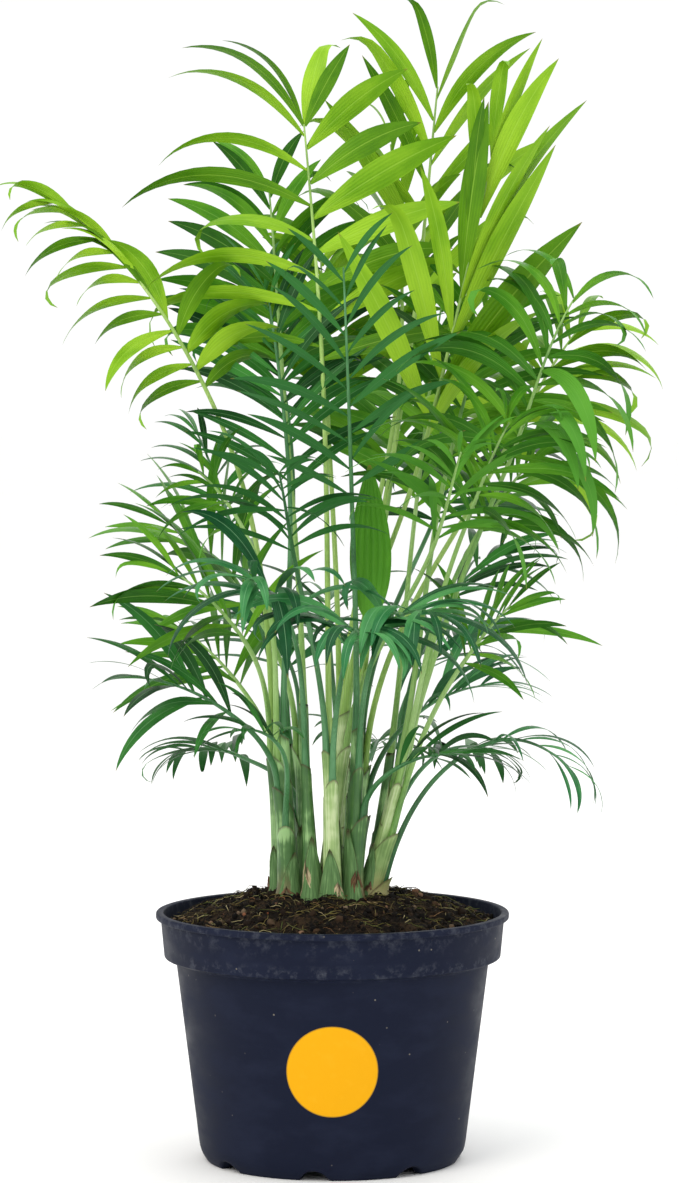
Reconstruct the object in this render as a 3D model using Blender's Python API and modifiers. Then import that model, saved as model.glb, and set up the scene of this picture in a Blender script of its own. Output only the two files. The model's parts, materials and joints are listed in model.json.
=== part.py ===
"""A parlour palm in its nursery pot, in metres, +Z up.

The origin is the middle of the pot's flat underside. The plant is a clump of
sheathed stems, each with a few fronds. A frond is one solid: a slender stalk that
widens into a thin blade of the frond's outline. Each half of a blade is drawn in
where a neighbour stands, so that no two fronds touch.
"""
import math
from collections import namedtuple

import bmesh
import bpy
import numpy as np
from mathutils.bvhtree import BVHTree

# Pot: outer radii and heights
RIM_TOP = 0.170
LIP_RADIUS = 0.1207
LIP_DEPTH = 0.0045
BAND_TOP_RADIUS = 0.1174
BAND_FOOT_RADIUS = 0.1149
BAND_FOOT = 0.1392
BODY_TOP_RADIUS = 0.1070
BODY_TOP = 0.1372
BODY_FOOT_RADIUS = 0.0907
BODY_FOOT = 0.0070
BASE_RADIUS = 0.0862
WALL = 0.0020
FLOOR_UNDERSIDE = 0.0080
FLOOR_TOP = 0.0105
SKIRT_RADIUS = 0.0800
PAD_RADIUS = 0.0200
POT_STEPS = 48

# Arched notches in the pot's bottom edge, and a drain hole behind each
NOTCH_COUNT = 8
NOTCH_WIDTH = 0.020
NOTCH_HEIGHT = 0.0070
FIRST_NOTCH = math.radians(262)
CUTTER_LENGTH = 0.020
CUTTER_SIDES = 24
DRAIN_RADIUS = 0.0050
DRAIN_RING = 0.0700
DRAIN_SIDES = 12

# Potting mix: a mound with a flat crown that the stems stand on
SOIL_TOP = 0.1810
SOIL_CROWN_RADIUS = 0.0500
SOIL_SHOULDER = 0.1720
SOIL_SHOULDER_RADIUS = 0.0850
SOIL_EDGE = 0.1600
SOIL_STEPS = 32

# Clearance between touching solids, and from a stem's side to a stalk that leaves there
GAP = 0.0003
SIDE_GAP = 0.00015

# Stems: the flare at the cut, the upright stretch above it, and the sections
STEM_FLARE = 1.25
STEM_FLARE_HEIGHT = 0.012
STEM_UPRIGHT = 0.004
STEM_POINTS = 5

# Frond sections
STALK_FOOT = 0.0021
STALK_THROAT = 0.0015
BLADE_THICKNESS = 0.0014
TIP_HALF_WIDTH = 0.0008
TIP_THICKNESS = 0.0008
BLADE_FOLD = 0.25
LEAF_REACH = 0.83
STALK_RUNS = 5
BLADE_RUNS = 12

# Drawing a blade in: the room left around each frond, the strips that a half blade
# is tested in, and the most rounds that it may take
ROOM = 0.0004
STRIPS = 6
ROUNDS = 60

UP = np.array([0.0, 0.0, 1.0])

# Each stem: where its axis stands on the mix, where it ends, and its two radii
Stem = namedtuple("Stem", "across deep top_across top_deep top_up foot_radius top_radius")
STEMS = {
    "stem_far_left": Stem(-0.036, 0.012, -0.041, 0.014, 0.300, 0.0050, 0.0026),
    "stem_dark_left": Stem(-0.030, -0.010, -0.033, -0.011, 0.290, 0.0064, 0.0032),
    "stem_left": Stem(-0.014, -0.016, -0.018, -0.018, 0.270, 0.0062, 0.0030),
    "stem_front": Stem(0.000, -0.024, -0.002, -0.028, 0.285, 0.0060, 0.0028),
    "stem_pale": Stem(-0.004, -0.002, 0.008, -0.004, 0.305, 0.0064, 0.0032),
    "stem_front_right": Stem(0.014, -0.014, 0.016, -0.018, 0.295, 0.0058, 0.0028),
    "stem_right": Stem(0.026, -0.004, 0.045, -0.010, 0.260, 0.0060, 0.0030),
    "stem_middle": Stem(0.012, 0.008, 0.018, 0.012, 0.300, 0.0060, 0.0030),
    "stem_back_left": Stem(-0.018, 0.014, -0.020, 0.018, 0.310, 0.0060, 0.0030),
    "stem_rear_left": Stem(-0.020, 0.034, -0.030, 0.046, 0.280, 0.0058, 0.0028),
    "stem_rear": Stem(0.004, 0.030, 0.006, 0.042, 0.290, 0.0062, 0.0030),
    "stem_rear_right": Stem(0.028, 0.022, 0.040, 0.032, 0.275, 0.0058, 0.0028),
}

# Each frond: its stem, how far up it leaves (1 is the top), where the blade begins,
# the furthest leaf tip, the compass direction in degrees that its back leans to, its
# arch, the length of a leaflet, the degrees between leaflet and rib, and its colour
Frond = namedtuple("Frond", "stem foot throat tip lean arch leaf spread tint")
FRONDS = {
    "frond_left_arch": Frond("stem_far_left", 1.00, (-0.086, -0.010, 0.527),
        (-0.222, -0.050, 0.674), 115, 0.25, 0.072, 56, "young"),
    "frond_crown_left": Frond("stem_front", 1.00, (-0.007, 0.000, 0.545),
        (-0.025, 0.045, 0.767), 90, 0.05, 0.102, 58, "young"),
    "frond_crown_back": Frond("stem_middle", 1.00, (0.058, 0.060, 0.587),
        (0.079, 0.080, 0.790), 90, 0.10, 0.092, 46, "young"),
    "frond_crown_right": Frond("stem_pale", 1.00, (0.063, -0.020, 0.492),
        (0.125, -0.045, 0.756), 90, 0.05, 0.125, 38, "young"),
    "frond_right_arch": Frond("stem_right", 1.00, (0.116, -0.050, 0.473),
        (0.204, -0.070, 0.626), 60, 0.40, 0.096, 58, "mid"),
    "frond_dark_left": Frond("stem_dark_left", 1.00, (-0.029, -0.010, 0.458),
        (-0.050, 0.020, 0.635), 90, 0.05, 0.070, 46, "deep"),
    "frond_centre_blue": Frond("stem_front_right", 1.00, (0.013, -0.060, 0.455),
        (0.005, -0.080, 0.665), 270, 0.05, 0.098, 44, "blue"),
    "frond_crown_mid": Frond("stem_rear", 1.00, (0.048, 0.090, 0.553),
        (0.036, 0.130, 0.750), 40, 0.10, 0.085, 40, "young"),
    "frond_left_back": Frond("stem_rear_left", 1.00, (-0.030, 0.080, 0.497),
        (-0.065, 0.130, 0.640), 110, 0.20, 0.085, 46, "deep"),
    "frond_centre_back": Frond("stem_rear_right", 1.00, (0.058, 0.070, 0.443),
        (0.086, 0.140, 0.630), 60, 0.20, 0.085, 44, "mid"),
    "frond_right_mid": Frond("stem_right", 0.85, (0.100, -0.005, 0.430),
        (0.188, 0.015, 0.500), 60, 0.40, 0.085, 50, "mid"),
    "frond_right_back": Frond("stem_middle", 0.70, (0.119, 0.045, 0.484),
        (0.215, 0.090, 0.600), 60, 0.30, 0.095, 52, "young"),
    "frond_low_left_up": Frond("stem_far_left", 0.75, (-0.060, -0.020, 0.357),
        (-0.155, -0.060, 0.416), 130, 0.35, 0.088, 38, "mid"),
    "frond_low_left_top": Frond("stem_back_left", 0.75, (-0.055, 0.040, 0.374),
        (-0.165, 0.060, 0.450), 130, 0.30, 0.090, 40, "mid"),
    "frond_low_left": Frond("stem_dark_left", 0.65, (-0.068, -0.040, 0.308),
        (-0.169, -0.075, 0.326), 140, 0.45, 0.080, 42, "deep"),
    "frond_lowest_left": Frond("stem_dark_left", 0.40, (-0.036, -0.055, 0.289),
        (-0.085, -0.120, 0.290), 205, 0.50, 0.065, 42, "deep"),
    "frond_left_pale": Frond("stem_rear_left", 0.60, (-0.064, 0.050, 0.320),
        (-0.142, 0.092, 0.364), 135, 0.35, 0.075, 42, "mid"),
    "frond_front_left": Frond("stem_left", 1.00, (-0.030, -0.068, 0.375),
        (-0.075, -0.175, 0.395), 240, 0.45, 0.085, 44, "blue"),
    "frond_front_mid": Frond("stem_front", 0.75, (0.010, -0.080, 0.355),
        (0.022, -0.195, 0.350), 270, 0.50, 0.080, 44, "blue"),
    "frond_front_right": Frond("stem_front_right", 0.75, (0.035, -0.065, 0.365),
        (0.086, -0.170, 0.365), 310, 0.45, 0.085, 44, "blue"),
    "frond_right_low_up": Frond("stem_right", 0.50, (0.088, -0.041, 0.343),
        (0.160, -0.080, 0.402), 50, 0.35, 0.085, 40, "mid"),
    "frond_right_low": Frond("stem_middle", 0.40, (0.060, 0.020, 0.305),
        (0.148, 0.040, 0.311), 50, 0.45, 0.080, 42, "blue"),
    "frond_lowest_right": Frond("stem_front_right", 0.45, (0.045, -0.040, 0.273),
        (0.116, -0.085, 0.269), 325, 0.45, 0.070, 42, "deep"),
    "frond_thin_right": Frond("stem_right", 0.10, (0.109, -0.030, 0.289),
        (0.181, -0.050, 0.245), 320, 0.60, 0.060, 42, "blue"),
    "frond_right_mid_low": Frond("stem_rear_right", 0.60, (0.080, 0.040, 0.381),
        (0.160, 0.090, 0.416), 50, 0.35, 0.085, 42, "deep"),
    "frond_mid_front": Frond("stem_front", 0.95, (-0.026, -0.078, 0.420),
        (-0.042, -0.165, 0.495), 260, 0.30, 0.078, 44, "deep"),
    "frond_mid_front_right": Frond("stem_pale", 0.80, (0.068, -0.072, 0.425),
        (0.095, -0.160, 0.510), 285, 0.30, 0.080, 44, "mid"),
    "frond_rear_top": Frond("stem_back_left", 1.00, (-0.035, 0.060, 0.540),
        (-0.050, 0.110, 0.715), 100, 0.20, 0.090, 46, "mid"),
    "frond_rear_mid": Frond("stem_rear", 0.80, (0.040, 0.118, 0.450),
        (0.055, 0.215, 0.560), 80, 0.30, 0.085, 46, "mid"),
    "frond_rear_mid_left": Frond("stem_rear_left", 0.85, (-0.072, 0.105, 0.430),
        (-0.120, 0.185, 0.520), 125, 0.30, 0.085, 46, "deep"),
    "frond_rear_mid_right": Frond("stem_middle", 0.85, (0.070, 0.105, 0.430),
        (0.125, 0.190, 0.510), 55, 0.30, 0.085, 46, "deep"),
    "frond_rear_low": Frond("stem_rear", 0.55, (-0.002, 0.115, 0.345),
        (-0.005, 0.225, 0.370), 92, 0.40, 0.080, 44, "deep"),
    "frond_rear_low_left": Frond("stem_rear_left", 0.40, (-0.028, 0.108, 0.325),
        (-0.070, 0.200, 0.350), 110, 0.40, 0.080, 44, "blue"),
    "frond_rear_low_right": Frond("stem_rear_right", 0.40, (0.060, 0.090, 0.325),
        (0.120, 0.175, 0.340), 55, 0.40, 0.080, 44, "blue"),
    "frond_rear_lowest": Frond("stem_rear", 0.35, (0.028, 0.092, 0.270),
        (0.035, 0.175, 0.255), 80, 0.50, 0.065, 44, "deep"),
    "frond_rear_lowest_right": Frond("stem_rear_right", 0.20, (0.070, 0.050, 0.270),
        (0.135, 0.105, 0.250), 40, 0.50, 0.065, 44, "deep"),
    "frond_rear_lowest_left": Frond("stem_back_left", 0.40, (-0.065, 0.065, 0.270),
        (-0.125, 0.130, 0.250), 140, 0.50, 0.065, 44, "deep"),
    "frond_mid_left": Frond("stem_dark_left", 0.85, (-0.060, -0.025, 0.432),
        (-0.128, -0.050, 0.490), 110, 0.30, 0.075, 44, "mid"),
    "frond_right_upper": Frond("stem_right", 0.95, (0.088, -0.070, 0.435),
        (0.150, -0.110, 0.540), 60, 0.35, 0.090, 50, "mid"),
    "frond_right_inner": Frond("stem_right", 0.95, (0.080, 0.010, 0.480),
        (0.128, 0.010, 0.620), 80, 0.20, 0.090, 46, "mid"),
    "frond_back_upper": Frond("stem_rear", 0.95, (-0.004, 0.110, 0.520),
        (-0.012, 0.170, 0.660), 95, 0.25, 0.085, 46, "young"),
    "frond_spear": Frond("stem_middle", 0.92, (0.025, -0.032, 0.372),
        (0.025, -0.038, 0.476), 270, 0.00, 0.014, 90, "young"),
}

# Colour, roughness and metallic value of each finish
FINISHES = {
    "pot_plastic": ((0.024, 0.030, 0.051), 0.45, 0.0),
    "potting_mix": ((0.030, 0.020, 0.014), 0.95, 0.0),
    "stem_sheath": ((0.270, 0.330, 0.120), 0.55, 0.0),
    "leaf_young": ((0.170, 0.350, 0.020), 0.45, 0.0),
    "leaf_mid": ((0.060, 0.230, 0.020), 0.45, 0.0),
    "leaf_deep": ((0.020, 0.110, 0.030), 0.45, 0.0),
    "leaf_blue": ((0.050, 0.200, 0.110), 0.45, 0.0),
}


def unit(vector):
    """The vector at length 1."""
    return vector / np.linalg.norm(vector)


def finish(name, slot):
    """A Principled material for one part, in the colour of its slot."""
    colour, roughness, metallic = FINISHES[slot]
    made = bpy.data.materials.new(name)
    made.use_nodes = True
    shader = made.node_tree.nodes["Principled BSDF"]
    shader.inputs["Base Color"].default_value = (*colour, 1.0)
    shader.inputs["Roughness"].default_value = roughness
    shader.inputs["Metallic"].default_value = metallic
    return made


def place(name, data, home, slot=None):
    """An object of this data in its collection, with its own material."""
    made = bpy.data.objects.new(name, data)
    home.objects.link(made)
    if slot:
        data.materials.append(finish(name, slot))
    return made


def turned(name, profile, steps, home, slot):
    """A solid turned about Z from (radius, height) points, down its outer side."""
    mesh = bpy.data.meshes.new(name)
    edges = [(i, i + 1) for i in range(len(profile) - 1)]
    mesh.from_pydata([(radius, 0.0, height) for radius, height in profile], edges, [])
    made = place(name, mesh, home, slot)
    screw = made.modifiers.new("Turn", "SCREW")
    screw.axis = "Z"
    screw.steps = steps
    screw.render_steps = steps
    screw.use_merge_vertices = True
    screw.merge_threshold = 0.00001
    screw.use_smooth_shade = True
    return made


def wall_radius(height):
    """The pot's outer radius at a height on its body or its band."""
    if height >= BAND_FOOT:
        return np.interp(height, (BAND_FOOT, RIM_TOP), (BAND_FOOT_RADIUS, BAND_TOP_RADIUS))
    return np.interp(height, (0.0, BODY_FOOT, BODY_TOP), (BASE_RADIUS, BODY_FOOT_RADIUS, BODY_TOP_RADIUS))


def pot_profile():
    """From the middle of the inner floor up the inside, over the lip, down and under."""
    lip_foot = RIM_TOP - LIP_DEPTH
    lip_round = LIP_DEPTH / 4
    inner_band_foot = BAND_FOOT + WALL
    return [
        (0.0, FLOOR_TOP),
        (wall_radius(FLOOR_TOP) - WALL, FLOOR_TOP),
        (BODY_TOP_RADIUS - WALL, BODY_TOP),
        (BAND_FOOT_RADIUS - WALL, inner_band_foot),
        (BAND_TOP_RADIUS - WALL, RIM_TOP - lip_round),
        (BAND_TOP_RADIUS - WALL + lip_round, RIM_TOP),
        (LIP_RADIUS - lip_round, RIM_TOP),
        (LIP_RADIUS, RIM_TOP - lip_round),
        (LIP_RADIUS, lip_foot + lip_round),
        (BAND_TOP_RADIUS, lip_foot),
        (BAND_FOOT_RADIUS, BAND_FOOT),
        (BODY_TOP_RADIUS, BODY_TOP),
        (BODY_FOOT_RADIUS, BODY_FOOT),
        (BASE_RADIUS, 0.0),
        (SKIRT_RADIUS, 0.0),
        (SKIRT_RADIUS, FLOOR_UNDERSIDE),
        (PAD_RADIUS, FLOOR_UNDERSIDE),
        (PAD_RADIUS, 0.0),
        (0.0, 0.0),
    ]


def cutter(name, radius, length, sides, home):
    """A capped cylinder along its own Z that only cuts."""
    shape = bmesh.new()
    bmesh.ops.create_cone(shape, cap_ends=True, segments=sides, radius1=radius,
                          radius2=radius, depth=length)
    mesh = bpy.data.meshes.new(name)
    shape.to_mesh(mesh)
    shape.free()
    made = place(name, mesh, home)
    made.hide_render = True
    made.display_type = "WIRE"
    return made


def build_pot(parts, cutters):
    """The pot, with arched notches in its bottom edge and a drain hole behind each."""
    pot = turned("pot", pot_profile(), POT_STEPS, parts, "pot_plastic")
    half = NOTCH_WIDTH / 2
    arch_radius = (half ** 2 + NOTCH_HEIGHT ** 2) / (2 * NOTCH_HEIGHT)
    for index in range(NOTCH_COUNT):
        turn = FIRST_NOTCH + math.tau * index / NOTCH_COUNT
        outward = np.array([math.cos(turn), math.sin(turn), 0.0])
        notch = cutter(f"notch_{index}", arch_radius, CUTTER_LENGTH, CUTTER_SIDES, cutters)
        notch.location = outward * BASE_RADIUS + UP * (NOTCH_HEIGHT - arch_radius)
        notch.rotation_euler = (0.0, math.pi / 2, turn)
        drain = cutter(f"drain_{index}", DRAIN_RADIUS, CUTTER_LENGTH, DRAIN_SIDES, cutters)
        drain.location = outward * DRAIN_RING + UP * FLOOR_TOP
    cut = pot.modifiers.new("Notches and drains", "BOOLEAN")
    cut.operand_type = "COLLECTION"
    cut.collection = cutters
    cut.operation = "DIFFERENCE"
    cut.solver = "EXACT"


def build_soil(parts):
    """The mound of potting mix, clear of the pot's wall and floor."""
    clear = WALL + GAP
    profile = [
        (0.0, SOIL_TOP),
        (SOIL_CROWN_RADIUS, SOIL_TOP),
        (SOIL_SHOULDER_RADIUS, SOIL_SHOULDER),
        (wall_radius(SOIL_EDGE) - clear, SOIL_EDGE),
        (BAND_FOOT_RADIUS - clear, BAND_FOOT + WALL + GAP),
        (BODY_TOP_RADIUS - clear, BODY_TOP + GAP),
        (wall_radius(FLOOR_TOP) - clear, FLOOR_TOP + GAP),
        (0.0, FLOOR_TOP + GAP),
    ]
    turned("soil", profile, SOIL_STEPS, parts, "potting_mix")


def stem_axis(stem):
    """The foot of a stem, the point where its lean begins, and its top."""
    foot = np.array([stem.across, stem.deep, SOIL_TOP + GAP])
    top = np.array([stem.top_across, stem.top_deep, stem.top_up])
    return foot, foot + UP * STEM_UPRIGHT, top


def stem_radius(stem, part):
    """A stem's radius at a part of its length, without the flare."""
    return stem.foot_radius + (stem.top_radius - stem.foot_radius) * part


def stem_points(stem):
    """Points up the axis and the radius at each, with the flare at the cut."""
    foot, knee, top = stem_axis(stem)
    height = top[2] - foot[2]
    flare = np.linspace(0.0, STEM_FLARE_HEIGHT, 4)
    ups = np.concatenate([flare, np.linspace(STEM_FLARE_HEIGHT, height, STEM_POINTS)[1:]])
    points = []
    radii = []
    for up in ups:
        part = max(0.0, up - STEM_UPRIGHT) / (height - STEM_UPRIGHT)
        level = foot + UP * up if up <= STEM_UPRIGHT else knee + (top - knee) * part
        swell = (STEM_FLARE - 1) * max(0.0, 1 - up / STEM_FLARE_HEIGHT) ** 2
        points.append(level)
        radii.append(stem_radius(stem, up / height) * (1 + swell))
    return np.array(points), np.array(radii)


def build_stem(name, stem, parts):
    """A tapered round stem on a flat cut, upright for its first few millimetres."""
    points, radii = stem_points(stem)
    curve = bpy.data.curves.new(name, "CURVE")
    curve.dimensions = "3D"
    curve.bevel_depth = stem.foot_radius
    curve.bevel_resolution = 2
    curve.use_fill_caps = True
    spline = curve.splines.new("POLY")
    spline.points.add(len(points) - 1)
    for control, point, radius in zip(spline.points, points, radii):
        control.co = (*point, 1.0)
        control.radius = radius / stem.foot_radius
    place(name, curve, parts, "stem_sheath")


def foot_of(frond):
    """Where a frond leaves its stem, and the way that it sets off: on the stem's end,
    or up against its side."""
    stem = STEMS[frond.stem]
    _, knee, top = stem_axis(stem)
    onward = unit(top - knee)
    at = knee + (top - knee) * frond.foot
    if frond.foot >= 1.0:
        return at + onward * GAP, onward
    outward = np.array(frond.throat) - at
    outward -= onward * (outward @ onward)
    reach = stem_radius(stem, frond.foot) + STALK_FOOT + SIDE_GAP
    return at + unit(outward) * reach, onward


def bezier(start, leave, arrive, end, runs):
    """Points along a cubic curve, one more than its runs."""
    t = np.linspace(0.0, 1.0, runs + 1)[:, None]
    s = 1 - t
    return start * s ** 3 + 3 * leave * t * s * s + 3 * arrive * t * t * s + end * t ** 3


def rib_of(frond):
    """A frond's line from its foot through its throat to its tip."""
    foot, onward = foot_of(frond)
    throat = np.array(frond.throat)
    tip = np.array(frond.tip)
    rise = throat - foot
    run = tip - throat
    heading = unit(unit(rise) + unit(run) + UP * 0.3 * frond.arch)
    droop = unit(unit(run) - UP * 1.6 * frond.arch)
    reach = 0.36 * np.linalg.norm(rise)
    span = 0.36 * np.linalg.norm(run)
    stalk = bezier(foot, foot + onward * reach, throat - heading * reach, throat, STALK_RUNS)
    blade = bezier(throat, throat + heading * span, tip - droop * span, tip, BLADE_RUNS)
    return np.vstack([stalk[:-1], blade])


def directions(frond, rib):
    """At each point of a rib, the way across the blade and the way out of its back."""
    along = np.gradient(rib, axis=0)
    along[0] = foot_of(frond)[1]
    along /= np.linalg.norm(along, axis=1)[:, None]
    lean = math.radians(frond.lean)
    level = np.array([-math.sin(lean), math.cos(lean), 0.0])
    across = level - along * (along @ level)[:, None]
    across /= np.linalg.norm(across, axis=1)[:, None]
    back = np.cross(along, across)
    outward = np.array([math.cos(lean), math.sin(lean), 0.0])
    if (back @ (UP * 0.5 - outward)).mean() < 0:
        across = -across
        back = -back
    return across, back


class Blade:
    """One frond: its rib, the directions and thickness there, and its two half widths."""

    def __init__(self, name, frond):
        self.name = name
        self.frond = frond
        self.rib = rib_of(frond)
        self.across, self.back = directions(frond, self.rib)
        stalk = np.linspace(STALK_FOOT, STALK_THROAT, STALK_RUNS + 1)
        t = np.linspace(0.0, 1.0, BLADE_RUNS + 1)[1:]
        self.least = np.concatenate([stalk, STALK_THROAT + (TIP_HALF_WIDTH - STALK_THROAT) * t])
        thin = BLADE_THICKNESS + (TIP_THICKNESS - BLADE_THICKNESS) * t
        self.half_thickness = np.concatenate([stalk, thin / 2])
        self.fold = np.concatenate([np.zeros(STALK_RUNS + 1), np.full(BLADE_RUNS, BLADE_FOLD)])
        reach = frond.leaf * math.sin(math.radians(frond.spread)) * LEAF_REACH
        outline = np.concatenate([np.zeros(STALK_RUNS + 1), reach * outline_at(t)])
        self.widths = np.maximum(np.array([outline, outline]), self.least)

    def edge(self, side, part=1.0):
        """Points a part of the way from the rib to one edge, at every station."""
        out = self.widths[side] * part
        sign = 1 - 2 * side
        return self.rib + (self.across * sign - self.back * self.fold[:, None]) * out[:, None]


def outline_at(t):
    """A frond's half width, from 0 at the throat up to 1 and down to 0 at the tip."""
    return np.maximum(np.sin(np.pi * t ** 0.72), 0.0) ** 0.75


def loft(rings):
    """Vertices and faces of a solid through rings of four: back, left, front, right.

    The second diagonal of each face runs from an edge to the next ridge, above and
    below alike, so that the two skins of a thin blade never cross."""
    faces = []
    for start in range(0, 4 * (len(rings) - 1), 4):
        for edge in (1, 3):
            for ridge in (0, 2):
                faces.append((start + edge, start + ridge, start + ridge + 4))
                faces.append((start + edge, start + ridge + 4, start + edge + 4))
    last = 4 * (len(rings) - 1)
    for end in (0, last):
        faces.append((end, end + 1, end + 2))
        faces.append((end, end + 2, end + 3))
    return np.concatenate(rings), faces


def build_frond(blade, parts):
    """A frond as one closed solid: a diamond stalk and a thin folded blade."""
    thick = blade.back * blade.half_thickness[:, None]
    left = blade.edge(0)
    right = blade.edge(1)
    rings = np.stack([blade.rib + thick, left, blade.rib - thick, right], axis=1)
    points, faces = loft(rings)
    mesh = bpy.data.meshes.new(blade.name)
    mesh.from_pydata(points.tolist(), [], faces)
    shape = bmesh.new()
    shape.from_mesh(mesh)
    bmesh.ops.recalc_face_normals(shape, faces=shape.faces)
    shape.to_mesh(mesh)
    shape.free()
    place(blade.name, mesh, parts, "leaf_" + blade.frond.tint)


def grid_faces(rows, columns, start):
    """Triangles of a grid of points, and the row and column of each."""
    faces = []
    cells = []
    for row in range(rows - 1):
        for column in range(columns - 1):
            corner = start + row * columns + column
            below = corner + columns
            faces += [(corner, corner + 1, below + 1), (corner, below + 1, below)]
            cells += [(row, column)] * 2
    return faces, cells


class Envelope:
    """The skin around a frond or stem with room to spare, in triangles that know
    their run, side and strip. A strip of None can't be drawn in."""

    def __init__(self, blade):
        points = []
        self.faces = []
        self.cells = []
        parts = np.linspace(0.0, 1.0, STRIPS + 1)
        for side in (0, 1):
            for sign in (1, -1):
                sheet = []
                for part in parts:
                    height = ROOM + blade.half_thickness * (1 - part)
                    sheet.append(blade.edge(side, part) + blade.back * (sign * height)[:, None])
                self.add(points, np.stack(sheet, axis=1), side)
            rim = blade.edge(side) + blade.back * ROOM
            self.add(points, np.stack([rim, rim - blade.back * 2 * ROOM], axis=1), side)
        self.finish(points)

    def add(self, points, grid, side):
        """Adds a grid of points; only a blade's runs may be drawn in."""
        rows, columns = grid.shape[:2]
        faces, cells = grid_faces(rows, columns, len(points))
        points.extend(grid.reshape(-1, 3))
        self.faces += faces
        for row, column in cells:
            strip = column if columns > 2 else STRIPS - 1
            fixed = row < STALK_RUNS or side is None
            self.cells.append((row, side, None if fixed else strip))

    def finish(self, points):
        """Builds the search tree over the triangles."""
        points = np.array(points)
        self.low = points.min(axis=0)
        self.high = points.max(axis=0)
        self.tree = BVHTree.FromPolygons(points.tolist(), self.faces, all_triangles=True)


class StemEnvelope(Envelope):
    """The skin around a stem, all of it fixed."""

    def __init__(self, stem):
        self.faces = []
        self.cells = []
        axis, radii = stem_points(stem)
        turns = np.linspace(0.0, math.tau, 9)
        circle = np.stack([np.cos(turns), np.sin(turns), np.zeros(9)], axis=1)
        points = []
        self.add(points, axis[:, None] + circle * (radii + ROOM)[:, None, None], None)
        self.finish(points)


def crossings(blades, stems):
    """Every place where two envelopes meet, as the run, side and strip on both."""
    found = []
    names = list(blades)
    for index, name in enumerate(names):
        own = blades[name]
        others = [(other, blades[other]) for other in names[index + 1:]]
        for other, theirs in others + list(stems.items()):
            low = np.maximum(own.low, theirs.low)
            high = np.minimum(own.high, theirs.high)
            if (low > high).any():
                continue
            for mine, yours in own.tree.overlap(theirs.tree):
                found.append((name, own.cells[mine], other, theirs.cells[yours]))
    return found


def draw_in(blade, cell):
    """The width that a side keeps when a strip of it is cut off, and what it loses."""
    row, side, strip = cell
    if strip is None:
        return None
    width = blade.widths[side, row:row + 2].max()
    kept = width * strip / STRIPS
    floor = blade.least[row:row + 2].max()
    if width <= floor * 1.001:
        return None
    return max(kept, floor), width - max(kept, floor)


def separate(blades):
    """Draws in the blades until no frond comes near another or a stem."""
    stems = {name: StemEnvelope(stem) for name, stem in STEMS.items()}
    envelopes = {name: Envelope(blade) for name, blade in blades.items()}
    for _ in range(ROUNDS):
        cuts = {}
        for name, cell, other, their_cell in crossings(envelopes, stems):
            own_stem = other == blades[name].frond.stem
            if own_stem and cell[0] < STALK_RUNS:
                continue
            choices = []
            for who, where in ((name, cell), (other, their_cell)):
                cut = draw_in(blades[who], where) if who in blades else None
                if cut:
                    choices.append((cut[1], who, where[0], where[1], cut[0]))
            if not choices:
                raise RuntimeError(f"{name} meets {other} at runs {cell[0]} and {their_cell[0]}")
            _, who, row, side, kept = min(choices)
            key = (who, row, side)
            cuts[key] = min(kept, cuts.get(key, kept))
        if not cuts:
            return
        for (who, row, side), kept in cuts.items():
            widths = blades[who].widths[side, row:row + 2]
            np.minimum(widths, kept, out=widths)
            np.maximum(widths, blades[who].least[row:row + 2], out=widths)
        for who in {key[0] for key in cuts}:
            envelopes[who] = Envelope(blades[who])
    raise RuntimeError("The fronds still meet after the last round")


def main():
    """Clears the scene and builds the pot, the mix, the stems and the fronds."""
    for old in list(bpy.data.objects):
        bpy.data.objects.remove(old)
    parts = bpy.data.collections.new("parlour_palm")
    cutters = bpy.data.collections.new("cutters")
    for home in (parts, cutters):
        bpy.context.scene.collection.children.link(home)
    build_pot(parts, cutters)
    build_soil(parts)
    for name, stem in STEMS.items():
        build_stem(name, stem, parts)
    blades = {name: Blade(name, frond) for name, frond in FRONDS.items()}
    separate(blades)
    for blade in blades.values():
        build_frond(blade, parts)


main()
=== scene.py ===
"""The looks of a parlour palm in its nursery pot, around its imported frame.

Metres, +Z up, the origin in the middle of the pot's flat underside. The routes of the
stems and fronds repeat those of the solids, and each frond's blade becomes a rib with
two rows of leaflets. Every surface is worked out on a grid with numpy.
"""
import json
import math
from collections import namedtuple

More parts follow.
